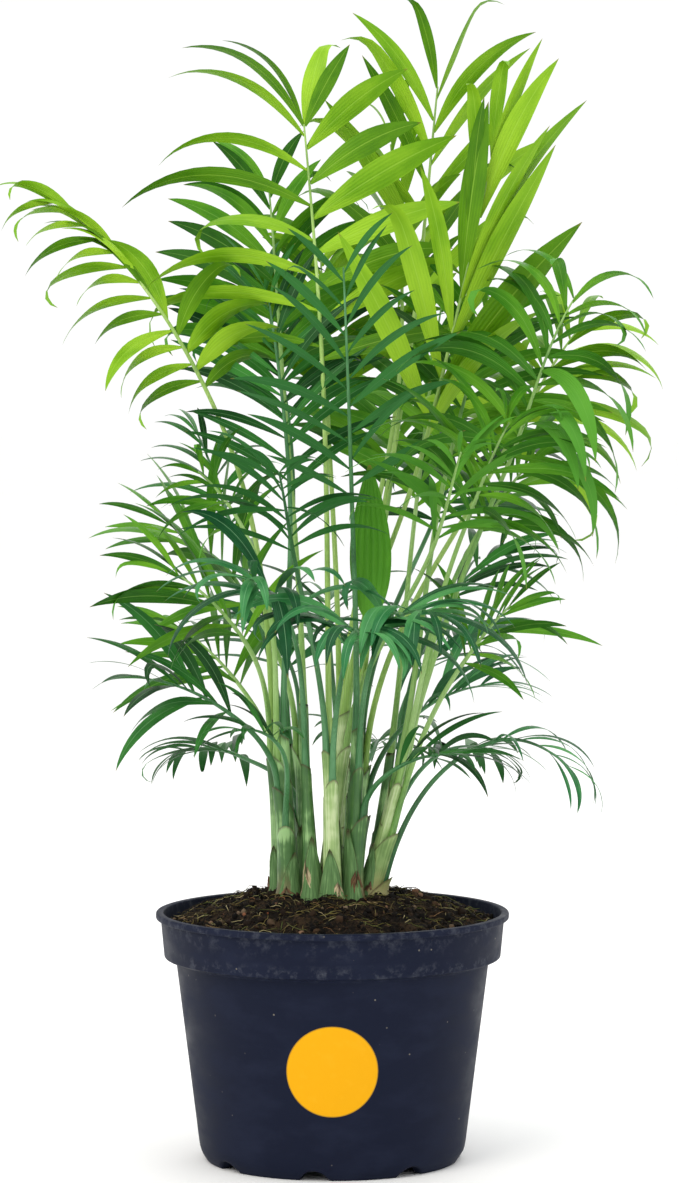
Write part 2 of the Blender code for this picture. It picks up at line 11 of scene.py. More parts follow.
import bpy
import numpy as np
from bpy.props import FloatProperty, FloatVectorProperty, IntProperty, PointerProperty
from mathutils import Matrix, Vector

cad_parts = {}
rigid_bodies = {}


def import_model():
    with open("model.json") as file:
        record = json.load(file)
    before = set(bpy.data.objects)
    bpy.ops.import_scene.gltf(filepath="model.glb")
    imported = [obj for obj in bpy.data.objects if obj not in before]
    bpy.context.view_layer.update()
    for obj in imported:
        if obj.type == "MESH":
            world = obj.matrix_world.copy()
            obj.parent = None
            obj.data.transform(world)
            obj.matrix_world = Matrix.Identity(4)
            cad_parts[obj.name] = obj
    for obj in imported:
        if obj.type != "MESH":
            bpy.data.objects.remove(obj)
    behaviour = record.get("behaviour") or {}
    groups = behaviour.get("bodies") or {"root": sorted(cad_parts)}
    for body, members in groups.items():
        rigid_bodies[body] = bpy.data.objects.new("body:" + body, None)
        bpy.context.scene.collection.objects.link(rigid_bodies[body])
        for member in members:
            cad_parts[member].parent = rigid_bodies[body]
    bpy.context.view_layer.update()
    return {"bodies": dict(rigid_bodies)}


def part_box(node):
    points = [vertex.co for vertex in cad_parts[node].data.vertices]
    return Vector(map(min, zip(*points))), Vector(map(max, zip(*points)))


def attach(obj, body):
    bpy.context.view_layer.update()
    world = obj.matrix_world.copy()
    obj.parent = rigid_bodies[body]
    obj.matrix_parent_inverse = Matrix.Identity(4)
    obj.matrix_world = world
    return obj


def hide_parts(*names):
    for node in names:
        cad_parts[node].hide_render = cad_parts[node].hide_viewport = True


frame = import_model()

bl_info = {
    "name": "Parlour palm in a nursery pot",
    "version": (1, 0, 0),
    "blender": (4, 5, 0),
    "location": "View3D > Sidebar > Palm",
    "description": "Makes the pot, the potting mix, the stems and the fronds around the frame",
    "category": "Add Mesh",
}

BODY = next(iter(frame["bodies"]))
LIP_RADIUS, _, RIM_TOP = (float(side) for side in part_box("pot")[1])
SOIL_TOP = float(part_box("soil")[1][2])
UP = np.array([0.0, 0.0, 1.0])

# As the solids have them: the gap under a stem and a top stalk, a stem's flare and the
# upright stretch at its cut, a stalk's radii at its foot and at its throat, and the gap
# between a stem's side and a stalk
GAP = 0.0003
STEM_FLARE = 1.25
STEM_FLARE_HEIGHT = 0.012
STEM_UPRIGHT = 0.004
STALK_FOOT = 0.0021
STALK_THROAT = 0.0015
SIDE_GAP = 0.00015

# Each stem as its solid has it: where its axis stands on the mix, where it ends and its
# two radii. Its look is this script's own.
Stem = namedtuple("Stem", "across deep top_across top_deep top_up foot_radius top_radius look")
STEMS = {
    "stem_far_left": Stem(-0.036, 0.012, -0.041, 0.014, 0.300, 0.0050, 0.0026, "green"),
    "stem_dark_left": Stem(-0.030, -0.010, -0.033, -0.011, 0.290, 0.0064, 0.0032, "green"),
    "stem_left": Stem(-0.014, -0.016, -0.018, -0.018, 0.270, 0.0062, 0.0030, "green"),
    "stem_front": Stem(0.000, -0.024, -0.002, -0.028, 0.285, 0.0060, 0.0028, "pale"),
    "stem_pale": Stem(-0.004, -0.002, 0.008, -0.004, 0.305, 0.0064, 0.0032, "pale"),
    "stem_front_right": Stem(0.014, -0.014, 0.016, -0.018, 0.295, 0.0058, 0.0028, "green"),
    "stem_right": Stem(0.026, -0.004, 0.045, -0.010, 0.260, 0.0060, 0.0030, "pale"),
    "stem_middle": Stem(0.012, 0.008, 0.018, 0.012, 0.300, 0.0060, 0.0030, "green"),
    "stem_back_left": Stem(-0.018, 0.014, -0.020, 0.018, 0.310, 0.0060, 0.0030, "green"),
    "stem_rear_left": Stem(-0.020, 0.034, -0.030, 0.046, 0.280, 0.0058, 0.0028, "green"),
    "stem_rear": Stem(0.004, 0.030, 0.006, 0.042, 0.290, 0.0062, 0.0030, "pale"),
    "stem_rear_right": Stem(0.028, 0.022, 0.040, 0.032, 0.275, 0.0058, 0.0028, "green"),
}

# Each frond, its line as its solid has it: its stem, how far up it leaves (1 is the top),
# where the blade begins, the furthest leaf tip, the compass direction that its back leans
# to, its arch and the length of a leaflet. Then what only this script draws: the degrees
# between leaflet and rib, the pairs of leaflets, and the colour.
Frond = namedtuple("Frond", "stem foot throat tip lean arch leaf spread pairs tint")
FRONDS = {
    "frond_left_arch": Frond("stem_far_left", 1.00, (-0.086, -0.010, 0.527),
        (-0.222, -0.050, 0.674), 115, 0.25, 0.072, 56, 13, "young"),
    "frond_crown_left": Frond("stem_front", 1.00, (-0.007, 0.000, 0.545),
        (-0.025, 0.045, 0.767), 90, 0.05, 0.102, 58, 9, "young"),
    "frond_crown_back": Frond("stem_middle", 1.00, (0.058, 0.060, 0.587),
        (0.079, 0.080, 0.790), 90, 0.10, 0.092, 33, 7, "young"),
    "frond_crown_right": Frond("stem_pale", 1.00, (0.063, -0.020, 0.492),
        (0.125, -0.045, 0.756), 90, 0.05, 0.125, 21, 7, "young"),
    "frond_right_arch": Frond("stem_right", 1.00, (0.116, -0.050, 0.473),
        (0.204, -0.070, 0.626), 60, 0.40, 0.096, 58, 13, "mid"),
    "frond_dark_left": Frond("stem_dark_left", 1.00, (-0.029, -0.010, 0.458),
        (-0.050, 0.020, 0.635), 90, 0.05, 0.070, 46, 10, "deep"),
    "frond_centre_blue": Frond("stem_front_right", 1.00, (0.013, -0.060, 0.455),
        (0.005, -0.080, 0.665), 270, 0.05, 0.098, 44, 9, "deep"),
    "frond_crown_mid": Frond("stem_rear", 1.00, (0.048, 0.090, 0.553),
        (0.036, 0.130, 0.750), 40, 0.10, 0.085, 40, 7, "young"),
    "frond_left_back": Frond("stem_rear_left", 1.00, (-0.030, 0.080, 0.497),
        (-0.065, 0.130, 0.640), 110, 0.20, 0.085, 46, 10, "deep"),
    "frond_centre_back": Frond("stem_rear_right", 1.00, (0.058, 0.070, 0.443),
        (0.086, 0.140, 0.630), 60, 0.20, 0.085, 44, 10, "mid"),
    "frond_right_mid": Frond("stem_right", 0.85, (0.100, -0.005, 0.430),
        (0.188, 0.015, 0.500), 60, 0.40, 0.085, 50, 10, "mid"),
    "frond_right_back": Frond("stem_middle", 0.70, (0.119, 0.045, 0.484),
        (0.215, 0.090, 0.600), 60, 0.30, 0.095, 52, 10, "young"),
    "frond_low_left_up": Frond("stem_far_left", 0.75, (-0.060, -0.020, 0.357),
        (-0.155, -0.060, 0.416), 130, 0.35, 0.088, 38, 8, "mid"),
    "frond_low_left_top": Frond("stem_back_left", 0.75, (-0.055, 0.040, 0.374),
        (-0.165, 0.060, 0.450), 130, 0.30, 0.090, 40, 8, "mid"),
    "frond_low_left": Frond("stem_dark_left", 0.65, (-0.068, -0.040, 0.308),
        (-0.169, -0.075, 0.326), 140, 0.45, 0.080, 42, 7, "deep"),
    "frond_lowest_left": Frond("stem_dark_left", 0.40, (-0.036, -0.055, 0.289),
        (-0.085, -0.120, 0.290), 205, 0.50, 0.065, 42, 6, "deep"),
    "frond_left_pale": Frond("stem_rear_left", 0.60, (-0.064, 0.050, 0.320),
        (-0.142, 0.092, 0.364), 135, 0.35, 0.075, 42, 8, "mid"),
    "frond_front_left": Frond("stem_left", 1.00, (-0.030, -0.068, 0.375),
        (-0.075, -0.175, 0.395), 240, 0.45, 0.085, 44, 9, "blue"),
    "frond_front_mid": Frond("stem_front", 0.75, (0.010, -0.080, 0.355),
        (0.022, -0.195, 0.350), 270, 0.50, 0.080, 44, 9, "blue"),
    "frond_front_right": Frond("stem_front_right", 0.75, (0.035, -0.065, 0.365),
        (0.086, -0.170, 0.365), 310, 0.45, 0.085, 44, 9, "blue"),
    "frond_right_low_up": Frond("stem_right", 0.50, (0.088, -0.041, 0.343),
        (0.160, -0.080, 0.402), 50, 0.35, 0.085, 40, 8, "mid"),
    "frond_right_low": Frond("stem_middle", 0.40, (0.060, 0.020, 0.305),
        (0.148, 0.040, 0.311), 50, 0.45, 0.080, 42, 8, "blue"),
    "frond_lowest_right": Frond("stem_front_right", 0.45, (0.045, -0.040, 0.273),
        (0.116, -0.085, 0.269), 325, 0.45, 0.070, 42, 6, "deep"),
    "frond_thin_right": Frond("stem_right", 0.10, (0.109, -0.030, 0.289),
        (0.181, -0.050, 0.245), 320, 0.60, 0.060, 42, 5, "blue"),
    "frond_right_mid_low": Frond("stem_rear_right", 0.60, (0.080, 0.040, 0.381),
        (0.160, 0.090, 0.416), 50, 0.35, 0.085, 42, 8, "deep"),
    "frond_mid_front": Frond("stem_front", 0.95, (-0.026, -0.078, 0.420),
        (-0.042, -0.165, 0.495), 260, 0.30, 0.078, 44, 9, "deep"),
    "frond_mid_front_right": Frond("stem_pale", 0.80, (0.068, -0.072, 0.425),
        (0.095, -0.160, 0.510), 285, 0.30, 0.080, 44, 9, "mid"),
    "frond_rear_top": Frond("stem_back_left", 1.00, (-0.035, 0.060, 0.540),
        (-0.050, 0.110, 0.715), 100, 0.20, 0.090, 46, 10, "mid"),
    "frond_rear_mid": Frond("stem_rear", 0.80, (0.040, 0.118, 0.450),
        (0.055, 0.215, 0.560), 80, 0.30, 0.085, 46, 10, "mid"),
    "frond_rear_mid_left": Frond("stem_rear_left", 0.85, (-0.072, 0.105, 0.430),
        (-0.120, 0.185, 0.520), 125, 0.30, 0.085, 46, 7, "deep"),
    "frond_rear_mid_right": Frond("stem_middle", 0.85, (0.070, 0.105, 0.430),
        (0.125, 0.190, 0.510), 55, 0.30, 0.085, 46, 9, "deep"),
    "frond_rear_low": Frond("stem_rear", 0.55, (-0.002, 0.115, 0.345),
        (-0.005, 0.225, 0.370), 92, 0.40, 0.080, 44, 9, "deep"),
    "frond_rear_low_left": Frond("stem_rear_left", 0.40, (-0.028, 0.108, 0.325),
        (-0.070, 0.200, 0.350), 110, 0.40, 0.080, 44, 9, "blue"),
    "frond_rear_low_right": Frond("stem_rear_right", 0.40, (0.060, 0.090, 0.325),
        (0.120, 0.175, 0.340), 55, 0.40, 0.080, 44, 9, "blue"),
    "frond_rear_lowest": Frond("stem_rear", 0.35, (0.028, 0.092, 0.270),
        (0.035, 0.175, 0.255), 80, 0.50, 0.065, 44, 8, "deep"),
    "frond_rear_lowest_right": Frond("stem_rear_right", 0.20, (0.070, 0.050, 0.270),
        (0.135, 0.105, 0.250), 40, 0.50, 0.065, 44, 8, "deep"),
    "frond_rear_lowest_left": Frond("stem_back_left", 0.40, (-0.065, 0.065, 0.270),
        (-0.125, 0.130, 0.250), 140, 0.50, 0.065, 44, 8, "deep"),
    "frond_mid_left": Frond("stem_dark_left", 0.85, (-0.060, -0.025, 0.432),
        (-0.128, -0.050, 0.490), 110, 0.30, 0.075, 44, 6, "mid"),
    "frond_right_upper": Frond("stem_right", 0.95, (0.088, -0.070, 0.435),
        (0.150, -0.110, 0.540), 60, 0.35, 0.090, 50, 10, "mid"),
    "frond_right_inner": Frond("stem_right", 0.95, (0.080, 0.010, 0.480),
        (0.128, 0.010, 0.620), 80, 0.20, 0.090, 46, 10, "mid"),
    "frond_back_upper": Frond("stem_rear", 0.95, (-0.004, 0.110, 0.520),
        (-0.012, 0.170, 0.660), 95, 0.25, 0.085, 46, 10, "young"),
    "frond_spear": Frond("stem_middle", 0.92, (0.025, -0.032, 0.372),
        (0.025, -0.038, 0.476), 270, 0.00, 0.014, 90, 0, "young"),
}


def unit(vectors):
    """Vectors at length 1, along the last axis."""
    return vectors / np.linalg.norm(vectors, axis=-1, keepdims=True)


def stem_axis(stem):
    """The foot of a stem, the point where its lean begins, and its top."""
    foot = np.array([stem.across, stem.deep, SOIL_TOP + GAP])
    top = np.array([stem.top_across, stem.top_deep, stem.top_up])
    return foot, foot + UP * STEM_UPRIGHT, top


def foot_of(frond):
    """Where a frond leaves its stem, and the way that it sets off: on the stem's end,
    or up against its side."""
    stem = STEMS[frond.stem]
    _, knee, top = stem_axis(stem)
    onward = unit(top - knee)
    at = knee + (top - knee) * frond.foot
    if frond.foot >= 1.0:
        return at + onward * GAP, onward
    outward = np.array(frond.throat) - at
    outward -= onward * (outward @ onward)
    radius = stem.foot_radius + (stem.top_radius - stem.foot_radius) * frond.foot
    return at + unit(outward) * (radius + STALK_FOOT + SIDE_GAP), onward


def bezier(start, leave, arrive, end, runs):
    """Points along a cubic curve, one more than its runs."""
    t = np.linspace(0.0, 1.0, runs + 1)[:, None]
    s = 1 - t
    return start * s ** 3 + 3 * leave * t * s * s + 3 * arrive * t * t * s + end * t ** 3


# How far a cubic's controls lie from its ends, as a share of its stretch
CONTROL_SHARE = 0.36


def rib_of(frond, stalk_runs, blade_runs):
    """A frond's line: one cubic from its foot to its throat, and one on to its tip. At
    the throat the line heads between both stretches, raised by 0.3 of its arch, and it
    comes to its tip lowered by 1.6 of its arch."""
    foot, onward = foot_of(frond)
    throat = np.array(frond.throat)
    tip = np.array(frond.tip)
    rise = throat - foot
    run = tip - throat
    heading = unit(unit(rise) + unit(run) + UP * 0.3 * frond.arch)
    droop = unit(unit(run) - UP * 1.6 * frond.arch)
    reach = CONTROL_SHARE * np.linalg.norm(rise)
    span = CONTROL_SHARE * np.linalg.norm(run)
    stalk = bezier(foot, foot + onward * reach, throat - heading * reach, throat, stalk_runs)
    blade = bezier(throat, throat + heading * span, tip - droop * span, tip, blade_runs)
    return np.vstack([stalk[:-1], blade])


def directions(frond, rib):
    """At each point of a rib: along it, across the blade, and out of its upper side."""
    along = unit(np.gradient(rib, axis=0))
    lean = math.radians(frond.lean)
    level = np.array([-math.sin(lean), math.cos(lean), 0.0])
    across = unit(level - along * (along @ level)[:, None])
    face = np.cross(along, across)
    outward = np.array([math.cos(lean), math.sin(lean), 0.0])
    if (face @ (UP * 0.5 - outward)).mean() < 0:
        across = -across
        face = -face
    return along, across, face


def at_lengths(travelled, values, wanted):
    """Rows of values read at wanted distances along a line."""
    return np.stack([np.interp(wanted, travelled, column) for column in values.T], axis=1)


def travel(points):
    """Distance along a line of points, starting at 0."""
    steps = np.linalg.norm(np.diff(points, axis=0), axis=1)
    return np.concatenate([[0.0], np.cumsum(steps)])


def smooth_step(x, low, high):
    """0 below low, 1 above high, and an even S between."""
    t = np.clip((x - low) / (high - low), 0.0, 1.0)
    return t * t * (3 - 2 * t)


def quads_of(rows, columns):
    """Corner numbers of the faces of a grid of points."""
    corner = np.arange(rows * columns).reshape(rows, columns)
    left, right = corner[:, :-1], corner[:, 1:]
    return np.stack([left[:-1], right[:-1], right[1:], left[1:]], axis=-1).reshape(-1, 4)


def inside(rows, columns):
    """1 within a grid and 0 on its border, where the two sides of a thin leaf meet."""
    grid = np.zeros((rows, columns))
    grid[1:-1, 1:-1] = 1.0
    return grid


def turned(radius, angle, height):
    """Points at a radius, an angle about Z and a height."""
    spots = np.broadcast_arrays(radius * np.cos(angle), radius * np.sin(angle), height)
    return np.stack(spots, axis=-1)


def map_of(across, along, shape):
    """Map places of a grid's points, from a value across and a value along."""
    return np.stack([np.broadcast_to(across, shape), np.broadcast_to(along, shape)], axis=-1)


def copies(points, quads, uvs):
    """Meshes of the same faces, as points of shape (count, corners, 3), in one surface:
    a list of points, of quads and of map places."""
    starts = np.arange(len(points))[:, None, None] * points.shape[1]
    return points.reshape(-1, 3), (quads[None] + starts).reshape(-1, 4), uvs.reshape(-1, 2)


def sheets(points, uvs, flipped=False):
    """Equal grids of shape (count, rows, columns) as one surface. Flipped quads run the
    other way round from the same corner, so that they face the other way and still split
    along the same diagonal."""
    count, rows, columns = points.shape[:3]
    quads = quads_of(rows, columns)
    if flipped:
        quads = quads[:, [0, 3, 2, 1]]
    return copies(points.reshape(count, -1, 3), quads, uvs)


def merged(parts):
    """Several (points, quads, uvs) as one."""
    starts = np.cumsum([0] + [len(points) for points, _, _ in parts[:-1]])
    points = np.concatenate([part[0] for part in parts])
    quads = np.concatenate([part[1] + start for part, start in zip(parts, starts)])
    uvs = np.concatenate([part[2] for part in parts])
    return points, quads, uvs


# How near two points are one, and the angle between faces from which an edge is sharp
WELD_WITHIN = 1e-7
SHARP_FROM = math.radians(70)


def welded(points, quads):
    """Points that lie together become one, which closes seams and poles. Returns the
    points left, each face's corners, and which of those corners the face still needs."""
    places = np.round(points / WELD_WITHIN).astype(np.int64)
    _, first, joined = np.unique(places, axis=0, return_index=True, return_inverse=True)
    corners = joined.reshape(-1)[quads]
    kept = corners != np.roll(corners, 1, axis=1)
    kept[kept.sum(axis=1) < 3] = False
    return points[first], corners, kept


def make_piece(name, surface, material, replaced=(), bake_places=None):
    """A smooth mesh of (points, quads, uvs) at the origin, riding on the palm's body.
    The second map, OFBake, is the first again unless it is given."""
    places, quads, uvs = surface
    points, corners, kept = welded(places, quads)
    sides = kept.sum(axis=1)
    sides = sides[sides > 0]
    mesh = bpy.data.meshes.new(name)
    mesh.vertices.add(len(points))
    mesh.vertices.foreach_set("co", points.astype(np.float32).ravel())
    mesh.loops.add(int(sides.sum()))
    mesh.loops.foreach_set("vertex_index", corners[kept].astype(np.int32))
    mesh.polygons.add(len(sides))
    mesh.polygons.foreach_set("loop_start", (np.cumsum(sides) - sides).astype(np.int32))
    mesh.polygons.foreach_set("use_smooth", np.ones(len(sides), dtype=bool))
    mesh.update(calc_edges=True)
    mesh.set_sharp_from_angle(angle=SHARP_FROM)
    bake_places = uvs if bake_places is None else bake_places
    for layer_name, spots in (("surface", uvs), ("OFBake", bake_places)):
        layer = mesh.uv_layers.new(name=layer_name)
        layer.data.foreach_set("uv", spots[quads[kept]].astype(np.float32).ravel())
    mesh.materials.append(material)
    piece = bpy.data.objects.new(name, mesh)
    bpy.context.scene.collection.objects.link(piece)
    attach(piece, BODY)
    if replaced:
        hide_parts(*replaced)


# How wide a stalk's channel is, in radians to 1/e of its depth
CHANNEL_SPREAD = 0.6


def tube(path, radii, sides, across, face, channel):
    """A tube along a path, closed at both ends. At an angle the surface lies at radius
    r (1 - channel e^(-(a/spread)^2)), a being how far the angle is from the face, so that
    a channel runs along its upper side. Its map runs 0 to 1 round it and along it."""
    path = np.vstack([path[:1], path, path[-1:]])
    across = np.vstack([across[:1], across, across[-1:]])
    face = np.vstack([face[:1], face, face[-1:]])
    radii = np.concatenate([[0.0], radii, [0.0]])
    angle = np.linspace(0.0, math.tau, sides + 1)
    away = np.abs((angle - math.pi / 2 + math.pi) % math.tau - math.pi) / CHANNEL_SPREAD
    shape = 1 - channel * np.exp(-away ** 2)
    ring = across[:, None] * np.cos(angle)[:, None] + face[:, None] * np.sin(angle)[:, None]
    points = path[:, None] + ring * (radii[:, None] * shape)[..., None]
    length = travel(path)
    return points, map_of(angle / math.tau, (length / length[-1])[:, None], points.shape[:2])


SEEDS = {name: seed for seed, name in enumerate(FRONDS)}

# Points along a leaflet and across it, and its thickness at the midrib
LEAF_ROWS = 15
LEAF_COLUMNS = 3
LEAF_THICKNESS = 0.00028
# Runs of the stalk and of the rib in the line that leaflets are set along
LINE_RUNS = (6, 60)
# The leaf map's lanes, of which the last two are for undersides
LANES = 8
TOP_LANES = 6
# The arch from which a frond is a low one, and from which its leaflets lie loosely
LOW_ARCH = 0.38
LOOSE_ARCH = 0.28
# How much a leaflet's face turns away from the clump, on low fronds and on the others
LOW_TURN_OUT = 0.9
TURN_OUT = 0.15
# In degrees: how far angles stray, how high leaflets are lifted, and the slope of the roof
LOOSE_STRAY = 11
STRAY = 6
LOW_LIFT = 22
LIFT = 8
LOOSE_LIFT_STRAY = 22
LIFT_STRAY = 12
ROOF = 20
ROOF_STRAY = 16
# Least and most of a leaflet's length and width beside the usual, and of a tip's curl
LENGTH_LUCK = (0.86, 1.16)
WIDTH_LUCK = (0.88, 1.12)
CURLS = (0.9, 2.2)
# How often a tip curls, on young fronds and on the others
YOUNG_CURL_ODDS = 0.30
CURL_ODDS = 0.10
LEAST_BEND = 0.05
# The part of a leaflet's length at the rib's end that bears no more pairs
BARE_END = 0.62
# Between which parts of the rib the right row's laying begins and is whole, and how much
# wider that row's leaflets are before it
LAID = (0.15, 0.40)
UNLAID_WIDER = 0.9
# How far a fan's leaflets close up, and where on the rib that begins
FAN_CLOSE = 2.6
FAN_FROM = 0.75
# How far to the side of the rib's line a leaflet starts
LEAF_OFF_RIB = 0.0006

# How the leaflets of some fronds differ from the rest: their length and width beside the
# usual, how much further they bend, whether that holds only for the left row, how much
# longer still the last ones are, how far the right row is laid along the rib, and how
# far the last ones gather into a fan at the rib's end
Habit = namedtuple("Habit", "length width bend left_only tip laid fan",
                   defaults=(False, 0.0, 0.0, 0.0))
USUAL = Habit(1.0, 1.0, 0.0)
HABITS = {
    "frond_left_arch": Habit(0.86, 0.90, 0.40, False, 0.42, 0.85),
    "frond_crown_left": Habit(1.22, 0.54, 0.85, True, 0.20, 0.0, 0.25),
    "frond_crown_back": Habit(1.22, 0.72, -0.15, False, 0.15),
    "frond_crown_right": Habit(1.05, 0.70, -0.10, False, 0.15, 0.6),
    "frond_crown_mid": Habit(1.05, 0.75, 0.10),
    "frond_right_arch": Habit(1.16, 0.72, 0.75),
    "frond_right_back": Habit(1.10, 0.70, 0.55),
    "frond_right_mid": Habit(1.05, 0.66, 0.30),
    "frond_right_upper": Habit(1.10, 0.66, 0.15),
    "frond_right_inner": Habit(1.05, 0.75, 0.10),
    "frond_dark_left": Habit(1.10, 0.72, 0.05),
    "frond_centre_blue": Habit(0.80, 0.66, 0.05),
    "frond_mid_front": Habit(0.98, 0.58, 0.00),
    "frond_mid_front_right": Habit(0.90, 0.58, 0.00),
    "frond_mid_left": Habit(0.70, 0.80, 0.10),
    "frond_rear_mid_left": Habit(0.70, 0.85, 0.20),
    "frond_low_left_up": Habit(1.00, 0.70, -0.30),
    "frond_low_left_top": Habit(0.98, 0.72, -0.25),
    "frond_low_left": Habit(1.02, 0.80, -0.30),
    "frond_lowest_left": Habit(0.78, 0.80, -0.35),
    "frond_left_pale": Habit(1.05, 0.75, -0.25),
    "frond_front_left": Habit(1.08, 0.80, 0.25),
    "frond_front_mid": Habit(1.10, 0.80, 0.30),
    "frond_front_right": Habit(1.08, 0.80, 0.20),
    "frond_right_low": Habit(0.95, 0.62, -0.35),
    "frond_lowest_right": Habit(1.05, 0.66, -0.50),
    "frond_thin_right": Habit(1.10, 0.52, 0.10),
    "frond_right_low_up": Habit(0.84, 0.66, -0.30),
    "frond_right_mid_low": Habit(0.85, 0.75, -0.15),
}


def leaflets_of(name, width_ratio):
    """The leaflets of a frond as arrays: where each starts, which way it sets off, its
    width's direction, its length and width, and how it bends, curls and ripples.

    They sit in pairs, a little out of step, at q from 0 to 1 of the rib up to its bare
    end. The angle to the rib is the spread times (1.18 - 0.62 q^1.6), and closes further
    where a right row is laid or the last ones form a fan. Both rows slope down from the
    rib like a roof, and turn to face away from the clump. The length is the frond's times
    (0.84 + 0.22 sin(pi min(1, q + 0.15)) - 0.24 q^2.5), the width a share of it times
    (1 + 0.15 q), and the bend 0.10 + 1.9 arch + 0.28 |n|, n being a normal draw."""
    frond = FRONDS[name]
    habit = HABITS.get(name, USUAL)
    rng = np.random.default_rng(SEEDS[name])
    low = frond.arch > LOW_ARCH
    loose = frond.arch > LOOSE_ARCH
    rib = rib_of(frond, *LINE_RUNS)
    along, across, face = (rows[LINE_RUNS[0]:] for rows in directions(frond, rib))
    rib = rib[LINE_RUNS[0]:]
    travelled = travel(rib)
    side = np.tile([1.0, -1.0], frond.pairs)
    rank = np.repeat(np.arange(frond.pairs), 2)
    q = np.clip((rank + 0.25 + 0.18 * side) / (frond.pairs - 0.6), 0.0, 1.0)
    at = np.minimum(q * (1 + habit.fan), 1.0) * (travelled[-1] - BARE_END * frond.leaf)
    count = len(q)
    start = at_lengths(travelled, rib, at)
    ahead = unit(at_lengths(travelled, along, at))
    out = unit(at_lengths(travelled, across, at)) * side[:, None]
    upper = unit(at_lengths(travelled, face, at))
    on_left = out[:, 0] < 0
    chosen = on_left | (not habit.left_only)

    angle = frond.spread * (1.18 - 0.62 * q ** 1.6)
    angle += rng.normal(0, LOOSE_STRAY if loose else STRAY, count)
    angle *= np.where(on_left, 1.0, 1.0 - habit.laid * smooth_step(q, *LAID))
    angle = np.radians(angle * (1 - FAN_CLOSE * habit.fan * smooth_step(q, FAN_FROM, 1.0)))
    lift = rng.normal(0, LOOSE_LIFT_STRAY if loose else LIFT_STRAY, count)
    lift = np.radians((LOW_LIFT if low else LIFT) + lift)
    beside = out * np.cos(lift)[:, None] + upper * np.sin(lift)[:, None]
    sets_off = unit(ahead * np.cos(angle)[:, None] + beside * np.sin(angle)[:, None])
    roof = np.radians(ROOF + rng.normal(0, ROOF_STRAY, count))
    normal = upper * np.cos(roof)[:, None] + out * np.sin(roof)[:, None]
    away = unit(start * np.array([1.0, 1.0, 0.0]))
    normal = normal + away * (LOW_TURN_OUT if low else TURN_OUT)
    normal = unit(normal - sets_off * (normal * sets_off).sum(axis=1, keepdims=True))

    middle = 0.84 + 0.22 * np.sin(np.pi * np.minimum(1.0, q + 0.15)) - 0.24 * q ** 2.5
    length = frond.leaf * middle * rng.uniform(*LENGTH_LUCK, count)
    bend = 0.10 + 1.9 * frond.arch + 0.28 * np.abs(rng.normal(0, 1.0, count))
    width = width_ratio * rng.uniform(*WIDTH_LUCK, count) * (1 + 0.15 * q)
    length *= np.where(chosen, habit.length, 1.0)
    width *= length * np.where(chosen, habit.width, 1.0)
    width *= np.where(on_left, 1.0, 1.0 + UNLAID_WIDER * habit.laid * (1 - smooth_step(q, *LAID)))
    length *= np.where(chosen, 1 + habit.tip * q ** 2, 1.0)
    bend = np.maximum(bend + np.where(chosen, habit.bend, 0.0), LEAST_BEND)
    curls = rng.random(count) < (YOUNG_CURL_ODDS if frond.tint == "young" else CURL_ODDS)
    return {
        "start": start + out * LEAF_OFF_RIB,
        "sets_off": sets_off,
        "width_way": np.cross(normal, sets_off),
        "normal": normal,
        "length": length,
        "width": width,
        "bend": bend,
        "curl": np.where(curls, rng.uniform(*CURLS, count), 0.0),
        "ripple": rng.uniform(0, math.tau, count),
        "lane": rng.integers(0, TOP_LANES, count),
    }


# The most that a leaflet bends, in radians, and the part of its length where curls begin
MOST_BEND = 1.9
CURL_FROM = 0.70
# The least half width of a leaflet, so that its ends are not quite points
LEAF_TIP = 0.00008
# How much of its lane of the map a leaflet fills, and the margin before it
LANE_SHARE = 0.96
LANE_MARGIN = 0.02


def lane_places(lane, x):
    """Where a lane of the leaf map lies across it, for x from -1 to 1 on a leaflet."""
    return (lane + LANE_MARGIN + LANE_SHARE * (x + 1) / 2) / LANES


